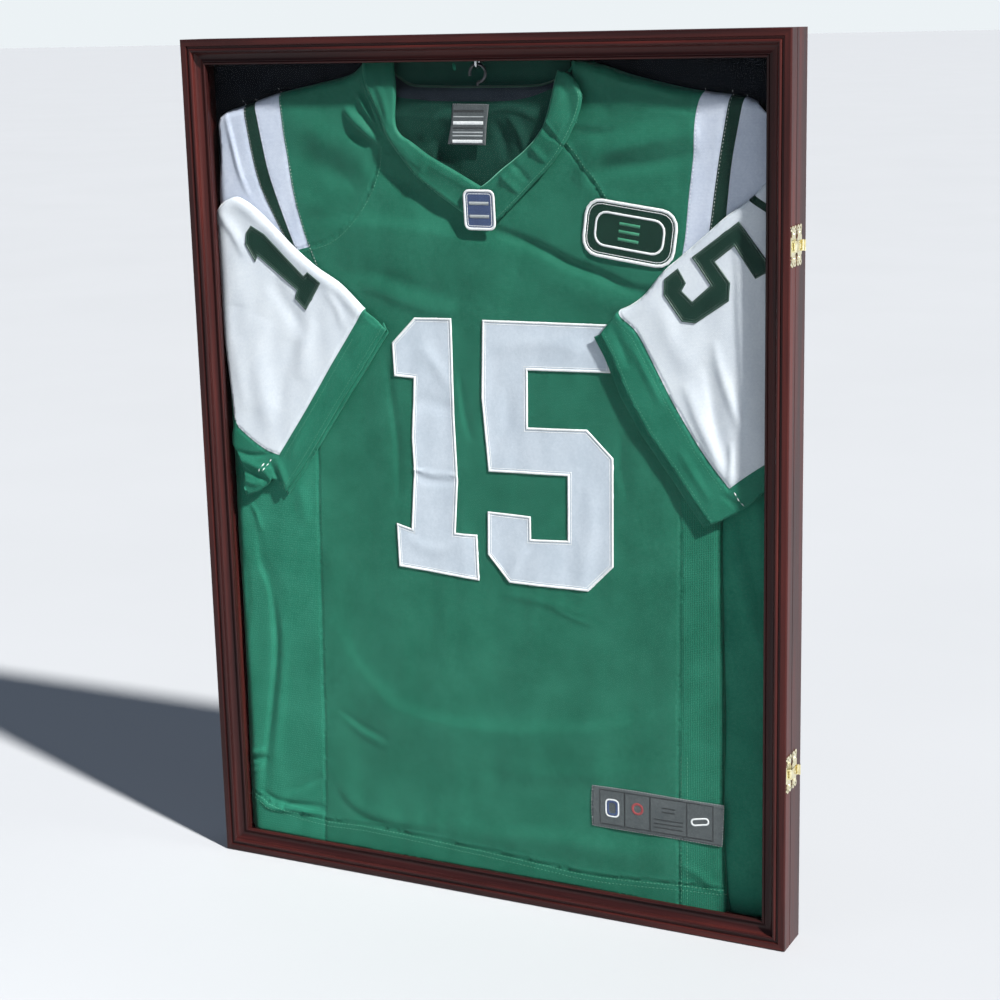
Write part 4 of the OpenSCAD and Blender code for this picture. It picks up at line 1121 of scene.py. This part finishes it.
def shifted(points, dx, dh):
    """Points moved by a step."""
    return [(a + dx, b + dh) for a, b in points]


def under_layer(name, top_edge, shift, proud_at):
    """The sleeve's rear layer, which shows as a second edge past the front layer's hem."""
    far = shifted(top_edge, *shift)
    near = shifted(top_edge, -shift[0] * 2, -shift[1] * 2)
    outline = near[::-1] + far if name.endswith("right") else near + far[::-1]

    def proud(x, h):
        return proud_at + front_fine(x, h) * 2

    return cloth(name, outline, proud, 2.4, [cuff_green], thick=0.8), outline


cuff_under_left, cuff_left_loop = under_layer("cuff_under_left", CUFF_L_OUT, (1.6, -3.2), 20.9)
cuff_under_right, cuff_right_loop = under_layer("cuff_under_right", CUFF_R_OUT, (-7.0, -3.0), 21.0)

# ---------------------------------------------------------------- numerals, patches and tag

CHEST_ONE = [
    (-72, 566), (-33, 567), (-33, 476), (-31, 411), (-35, 360), (-12, 360), (-11, 315), (-98, 321),
    (-99, 364), (-83, 360), (-78, 418), (-79, 450), (-75, 508), (-96, 509), (-97, 541),
]
CHEST_FIVE = [
    (0, 567), (127, 568), (128, 524), (45, 522), (44, 468), (104, 470), (130, 445), (129, 342),
    (103, 316), (21, 316), (-1, 342), (0, 384), (45, 383), (45, 361), (83, 363), (84, 425), (2, 423),
    (-3, 493),
]
SLEEVE_ONE = [
    (-246, 649), (-231, 641), (-189, 602), (-184, 606), (-170, 596), (-188, 569), (-200, 580),
    (-197, 588), (-240, 620), (-243, 614), (-253, 631), (-252, 642),
]
SLEEVE_FIVE = [
    (253, 664), (210, 632), (227, 608), (210, 593), (200, 602), (204, 609), (197, 622), (184, 612),
    (183, 598), (200, 575), (213, 574), (244, 595), (245, 611), (231, 629), (249, 643), (268, 615),
    (284, 624),
]


def signed_area(loop):
    """The area inside a loop, positive where the loop runs anticlockwise."""
    p = np.asarray(loop, float)
    q = np.roll(p, -1, 0)
    return 0.5 * float((p[:, 0] * q[:, 1] - q[:, 0] * p[:, 1]).sum())


def applique(name, outline, proud, field, thread, lift, border=2.4, pitch=2.4):
    """A cut shape sewn on flat, with a close satin-stitched edge."""
    lies = on(proud, lift)
    if signed_area(outline) < 0:
        outline = outline[::-1]
    body = cloth(name, outline, lies, pitch, [field], thick=0.6)
    edge = raised_band(name + "_edge", outline, lies, border, 0.55, thread, 0.9, border * 0.42)
    inner = raised_band(name + "_run", outline, lies, 0.7, 0.22, thread, 1.6, border + 1.2, tooth=0.9)
    return body, [edge, inner]


def turned_shape(points, centre, degrees):
    """Points turned by an angle, then moved to a centre."""
    c, s = math.cos(math.radians(degrees)), math.sin(math.radians(degrees))
    return [(centre[0] + a * c - b * s, centre[1] + a * s + b * c) for a, b in points]


def rounded_box(width, height, radius):
    """A box round the origin with an arc of five points at each corner."""
    out = []
    for k, (cx, cy) in enumerate([(1, 1), (-1, 1), (-1, -1), (1, -1)]):
        for t in np.linspace(0, math.pi / 2, 5):
            angle = k * math.pi / 2 + t
            out.append((cx * (width / 2 - radius) + radius * math.cos(angle),
                        cy * (height / 2 - radius) + radius * math.sin(angle)))
    return out


numeral_one, one_trim = applique("numeral_one", CHEST_ONE, front_proud, twill_white, thread_white,
                                 0.9, pitch=1.8)
numeral_five, five_trim = applique("numeral_five", CHEST_FIVE, front_proud, twill_white, thread_white,
                                   0.9, pitch=1.8)
sleeve_one, sleeve_one_trim = applique("sleeve_numeral_one", SLEEVE_ONE, sleeve_left_proud, trim_green,
                                       thread_dark, 0.5, border=1.8, pitch=2.0)
sleeve_five, sleeve_five_trim = applique("sleeve_numeral_five", SLEEVE_FIVE, sleeve_right_proud, trim_green,
                                         thread_dark, 0.5, border=1.8, pitch=2.0)

CHEST_CENTRE = (3, 669)
SIDE_CENTRE = (148.5, 651)
SIDE_TILT = -8
CHEST_PATCH = turned_shape(rounded_box(32, 37, 6), CHEST_CENTRE, 0)
SIDE_PATCH = turned_shape(rounded_box(90, 52, 16), SIDE_CENTRE, SIDE_TILT)


def patch_proud(x, h):
    """The chest patch is stiff and leans forward a little, so it bridges the folds under it."""
    return 24.6 + 0.06 * (h - CHEST_CENTRE[1])


def stiff_over(proud, outline, lift):
    """A gently curved relief that clears another one everywhere inside an outline."""
    low, high = np.min(outline, 0), np.max(outline, 0)
    grids = np.meshgrid(np.linspace(low[0], high[0], 24), np.linspace(low[1], high[1], 24))
    x, h = (grid.ravel() for grid in grids)
    middle = (low + high) / 2

    def terms(x, h):
        a, b = (x - middle[0]) / 40, (h - middle[1]) / 40
        return np.stack([np.ones_like(a), a, b, a * b, a * a, b * b], axis=-1)

    inner = inside(outline, x, h)
    x, h = x[inner], h[inner]
    share = np.linalg.lstsq(terms(x, h), proud(x, h), rcond=None)[0]
    gap = float((proud(x, h) - terms(x, h) @ share).max())
    return lambda x, h: terms(x, h) @ share + gap + lift


def rules(name, bars, proud, pitch):
    """Short raised bars. Each has a start and an end, its width, its height and its thread."""
    made = []
    for k, (start, end, width, height, thread) in enumerate(bars):
        line = resample([start, end], 2)
        made.append(raised_band(f"{name}_{k}", line, proud, width, height, thread, pitch, closed=False))
    return made


chest_patch, chest_trim = applique("chest_patch", CHEST_PATCH, patch_proud, thread_blue, thread_white,
                                   0.0, border=2.6, pitch=1.8)
side_proud = stiff_over(front_proud, SIDE_PATCH, 0.4)
side_patch, side_trim = applique("side_patch", SIDE_PATCH, side_proud, trim_green, thread_white,
                                 0.0, border=3.0)
SIDE_RING = turned_shape(rounded_box(66, 30, 10), SIDE_CENTRE, SIDE_TILT)
side_ring = raised_band("side_patch_ring", SIDE_RING, side_proud, 2.2, 0.45, thread_white, 0.9)
bars = [turned_shape([(-10, offset), (10, offset)], SIDE_CENTRE, SIDE_TILT) for offset in (-7, 0, 7)]
side_bars = rules("side_patch_bar", [(*bar, 3.0, 0.5, thread_green) for bar in bars], side_proud, 0.9)
bars = [turned_shape([(-10, offset), (10, offset)], CHEST_CENTRE, 0) for offset in (6, -6)]
chest_bars = rules("chest_patch_bar", [(*bar, 3.2, 0.5, thread_silver) for bar in bars], patch_proud, 0.9)

TAG = [
    (104.5, 124.5), (150, 125), (200, 124), (237.5, 124), (237, 104), (236, 83), (180, 83.6),
    (104, 83.4), (103.5, 104),
]
TAG_FOOT, TAG_HEAD = 87, 121.5
TAG_CELLS = [(112.5, 138), (138, 164), (164, 201), (201, 227)]
TAG_MARKS = [
    (turned_shape(rounded_box(13, 17, 4), (125, 104), 0), thread_white, 1.6),
    (turned_shape(rounded_box(9, 13, 3), (125, 104), 0), thread_blue, 2.4),
    (turned_shape(rounded_box(10, 10, 4.9), (151, 107), 0), thread_red, 2.6),
    (turned_shape(rounded_box(17, 6, 2.9), (214, 104), 12), thread_white, 1.8),
]
TAG_RULES = [(168, 197, 92), (168, 197, 96), (168, 197, 100), (176, 189, 108), (176, 189, 112)]
tag_proud = stiff_over(lambda x, h: front_proud(np.clip(x, 0, 228), h), TAG, 0.3)
hem_tag = cloth("hem_tag", TAG, tag_proud, 2.2, [tag_grey])
tag_lines = []
for k, (a, b) in enumerate(TAG_CELLS):
    cell = [(a, TAG_FOOT), (b, TAG_FOOT), (b, TAG_HEAD), (a, TAG_HEAD)]
    tag_lines.append(raised_band(f"tag_cell_{k}", cell, tag_proud, 1.1, 0.30, thread_black, 1.2))
for k, (loop, thread, width) in enumerate(TAG_MARKS):
    tag_lines.append(raised_band(f"tag_mark_{k}", loop, tag_proud, width, 0.34, thread, 0.8))
tag_lines += rules("tag_rule", [((a, h), (b, h), 1.2, 0.30, thread_black) for a, b, h in TAG_RULES],
                   tag_proud, 1.0)

LABEL_RULES = [
    (757.5, 2.6, thread_black), (752.5, 1.0, thread_silver), (747, 3.2, thread_white),
    (742.5, 1.4, thread_black), (738.5, 1.4, thread_silver), (735.5, 1.4, thread_silver),
    (730.5, 3.0, thread_white),
]
label_bars = []
for h, width, thread in LABEL_RULES:
    middle = -7 - (764 - h) * 0.07
    label_bars.append(((middle - 15.5, h), (middle + 15.5, h), width, 0.2, thread))
label_lines = rules("label_rule", label_bars, label_proud, 1.0)

# ---------------------------------------------------------------- stitching


def beside(line, distance):
    """A line beside another one, on its left."""
    points = resample(line, 2.0)
    return points + corner_normals(points, False) * distance


topstitch = stitches(
    "jersey_topstitching",
    [
        (beside(RAGLAN_L[4:], 3.0), front_proud, 2.2, 1.2, 0.26),
        (beside(RAGLAN_R, 3.0), front_proud, 2.2, 1.2, 0.26),
        (beside(SEAM_R[20:], 8.0), front_proud, 2.4, 1.6, 0.32),
        (beside(SEAM_R[20:], 2.0), front_proud, 2.4, 1.6, 0.24),
        (beside(HEM_TOP, -2.0), front_proud, 2.6, 1.2, 0.36),
        (beside(HEM_TOP, -6.5), front_proud, 2.6, 1.2, 0.36),
        (beside(collar_outer_l[6:], 2.6), collar_left_proud, 2.0, 1.0, 0.24),
        (beside(collar_outer_r[:-8], 2.6), collar_right_proud, 2.0, 1.0, 0.24),
        (beside(SLEEVE_L_CUFF[1:], 6.0), sleeve_left_proud, 2.2, 1.2, 0.24),
        (beside(SLEEVE_R_CUFF[1:], -6.0), sleeve_right_proud, 2.2, 1.2, 0.24),
        (beside(CUFF_L_OUT, -4.0), sleeve_left_proud, 2.2, 1.2, 0.24),
        (beside(CUFF_R_OUT, 4.0), sleeve_right_proud, 2.2, 1.2, 0.24),
    ],
    thread_green,
)
white_stitching = stitches(
    "white_stitching",
    [
        *[(beside(line[4:], 1.6), front_proud, 2.0, 1.2, 0.22) for line in STRIPES_L + STRIPES_R],
        ([(-252, 404), (-241, 419)], sleeve_left_proud, 6.0, 0.6, 0.7),
        ([(-246, 406), (-236, 419)], sleeve_left_proud, 5.0, 0.6, 0.6),
        ([(249, 425), (254, 416), (261, 410)], sleeve_right_proud, 5.0, 0.6, 0.6),
    ],
    thread_white,
)
tag_stitching = stitches(
    "tag_stitching",
    [
        (TAG + TAG[:1], on(tag_proud, 0.1), 1.8, 1.0, 0.3),
        (LABEL[:2], on(label_proud, 0.1), 1.6, 0.8, 0.26),
    ],
    thread_silver,
)

# ---------------------------------------------------------------- bodies and replacements


def declare(piece, parts=()):
    """Rides with the case, with its sewn-on parts."""
    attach(piece, "case")
    for part in parts:
        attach(part, "case")


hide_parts("jersey_body")
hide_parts("jersey_body")
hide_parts("jersey_collar")
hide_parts("jersey_collar")
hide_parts("jersey_collar")
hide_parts("jersey_sleeve_left")
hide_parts("jersey_sleeve_right")
declare(jersey_front, [topstitch, white_stitching])
declare(jersey_back)
declare(neck_inside, [neck_piping])
declare(sleeve_left)
declare(sleeve_right)
declare(numeral_one, one_trim)
declare(numeral_five, five_trim)
declare(sleeve_one, sleeve_one_trim)
declare(sleeve_five, sleeve_five_trim)
declare(chest_patch, chest_trim + chest_bars)
declare(side_patch, side_trim + [side_ring] + side_bars)
declare(hem_tag, [tag_stitching] + tag_lines)
declare(neck_label, label_lines)
declare(collar_left)
declare(collar_right)
declare(cuff_under_left)
declare(cuff_under_right)

# ---------------------------------------------------------------- floor, light, end

FLOOR_SIZE = 60
FLOOR_GAP = 0.0004
floor_paint = Paint("floor", Roughness=0.6)
pale = floor_paint.ramp(floor_paint.noise(2), [(0.3, (0.428, 0.445, 0.474)), (0.7, (0.439, 0.456, 0.486))])
# The floor looks pale, and throws little soft light back up, as if a dark screen lay in front.
bounce = floor_paint.tree.nodes.new("ShaderNodeLightPath").outputs["Is Diffuse Ray"]
dim = (0.24, 0.25, 0.26, 1)
floor_paint.colour(floor_paint.node("MixRGB", Fac=bounce, Color1=pale, Color2=dim))
corners = [
    (a * FLOOR_SIZE, b * FLOOR_SIZE, BOTTOM - FLOOR_GAP) for a, b in ((-1, -1), (1, -1), (1, 1), (-1, 1))
]
floor = link_mesh("floor", corners, [(0, 1, 2, 3)], [floor_paint.material], smooth_faces=False)

sky = bpy.data.worlds.new("sky")
bpy.context.scene.world = sky
sky.use_nodes = True
sky_nodes = sky.node_tree.nodes
direction = sky_nodes.new("ShaderNodeTexCoord")
height_of_view = sky_nodes.new("ShaderNodeSeparateXYZ")
tones = sky_nodes.new("ShaderNodeValToRGB")
tones.color_ramp.elements.new(0.03)
SKY_TONES = [(0.0, (0.84, 0.88, 0.90)), (0.03, (0.44, 0.48, 0.53)), (0.12, (0.14, 0.17, 0.215))]
for element, (place, tone) in zip(tones.color_ramp.elements, SKY_TONES):
    element.position = place
    element.color = (*tone, 1)
sky.node_tree.links.new(direction.outputs["Generated"], height_of_view.inputs[0])
sky.node_tree.links.new(height_of_view.outputs["Z"], tones.inputs[0])
# The backdrop is plain: the ramp of tones lights the object, and isn't seen itself.
ray = sky_nodes.new("ShaderNodeLightPath")
backdrop = sky_nodes.new("ShaderNodeMixRGB")
backdrop.inputs["Color2"].default_value = (0.84, 0.89, 0.915, 1)
sky.node_tree.links.new(ray.outputs["Is Camera Ray"], backdrop.inputs["Fac"])
sky.node_tree.links.new(tones.outputs[0], backdrop.inputs["Color1"])
sky.node_tree.links.new(backdrop.outputs[0], sky_nodes["Background"].inputs["Color"])
sky_nodes["Background"].inputs["Strength"].default_value = 1.0


def area_light(name, place, aim, size, watts, colour):
    """A square lamp turned to a point, which neither the camera nor reflections show."""
    data = bpy.data.lights.new(name, "AREA")
    data.shape = "SQUARE"
    data.size = size
    data.energy = watts
    data.color = colour
    lamp = bpy.data.objects.new(name, data)
    lamp.location = place
    lamp.rotation_mode = "QUATERNION"
    lamp.rotation_quaternion = (Vector(aim) - Vector(place)).to_track_quat("-Z", "Y")
    lamp.visible_camera = False
    lamp.visible_glossy = False
    bpy.context.scene.collection.objects.link(lamp)


MIDDLE = (0, 0, -0.37)
SUN_RUNS = Vector((-0.69, 0.28, -0.67))
key_data = bpy.data.lights.new("key", "SUN")
key_data.energy = 8.8
key_data.angle = math.radians(3)
key_data.color = (1.0, 0.975, 0.93)
key = bpy.data.objects.new("key", key_data)
key.rotation_mode = "QUATERNION"
key.rotation_quaternion = SUN_RUNS.to_track_quat("-Z", "Y")
bpy.context.scene.collection.objects.link(key)
area_light("fill", (-1.6, -2.6, 0.6), MIDDLE, 2.2, 3, (0.88, 0.94, 1.0))
area_light("low_fill", (-0.25, -0.75, -0.62), (0, 0, -0.76), 0.35, 0.75, (1.0, 0.99, 0.97))
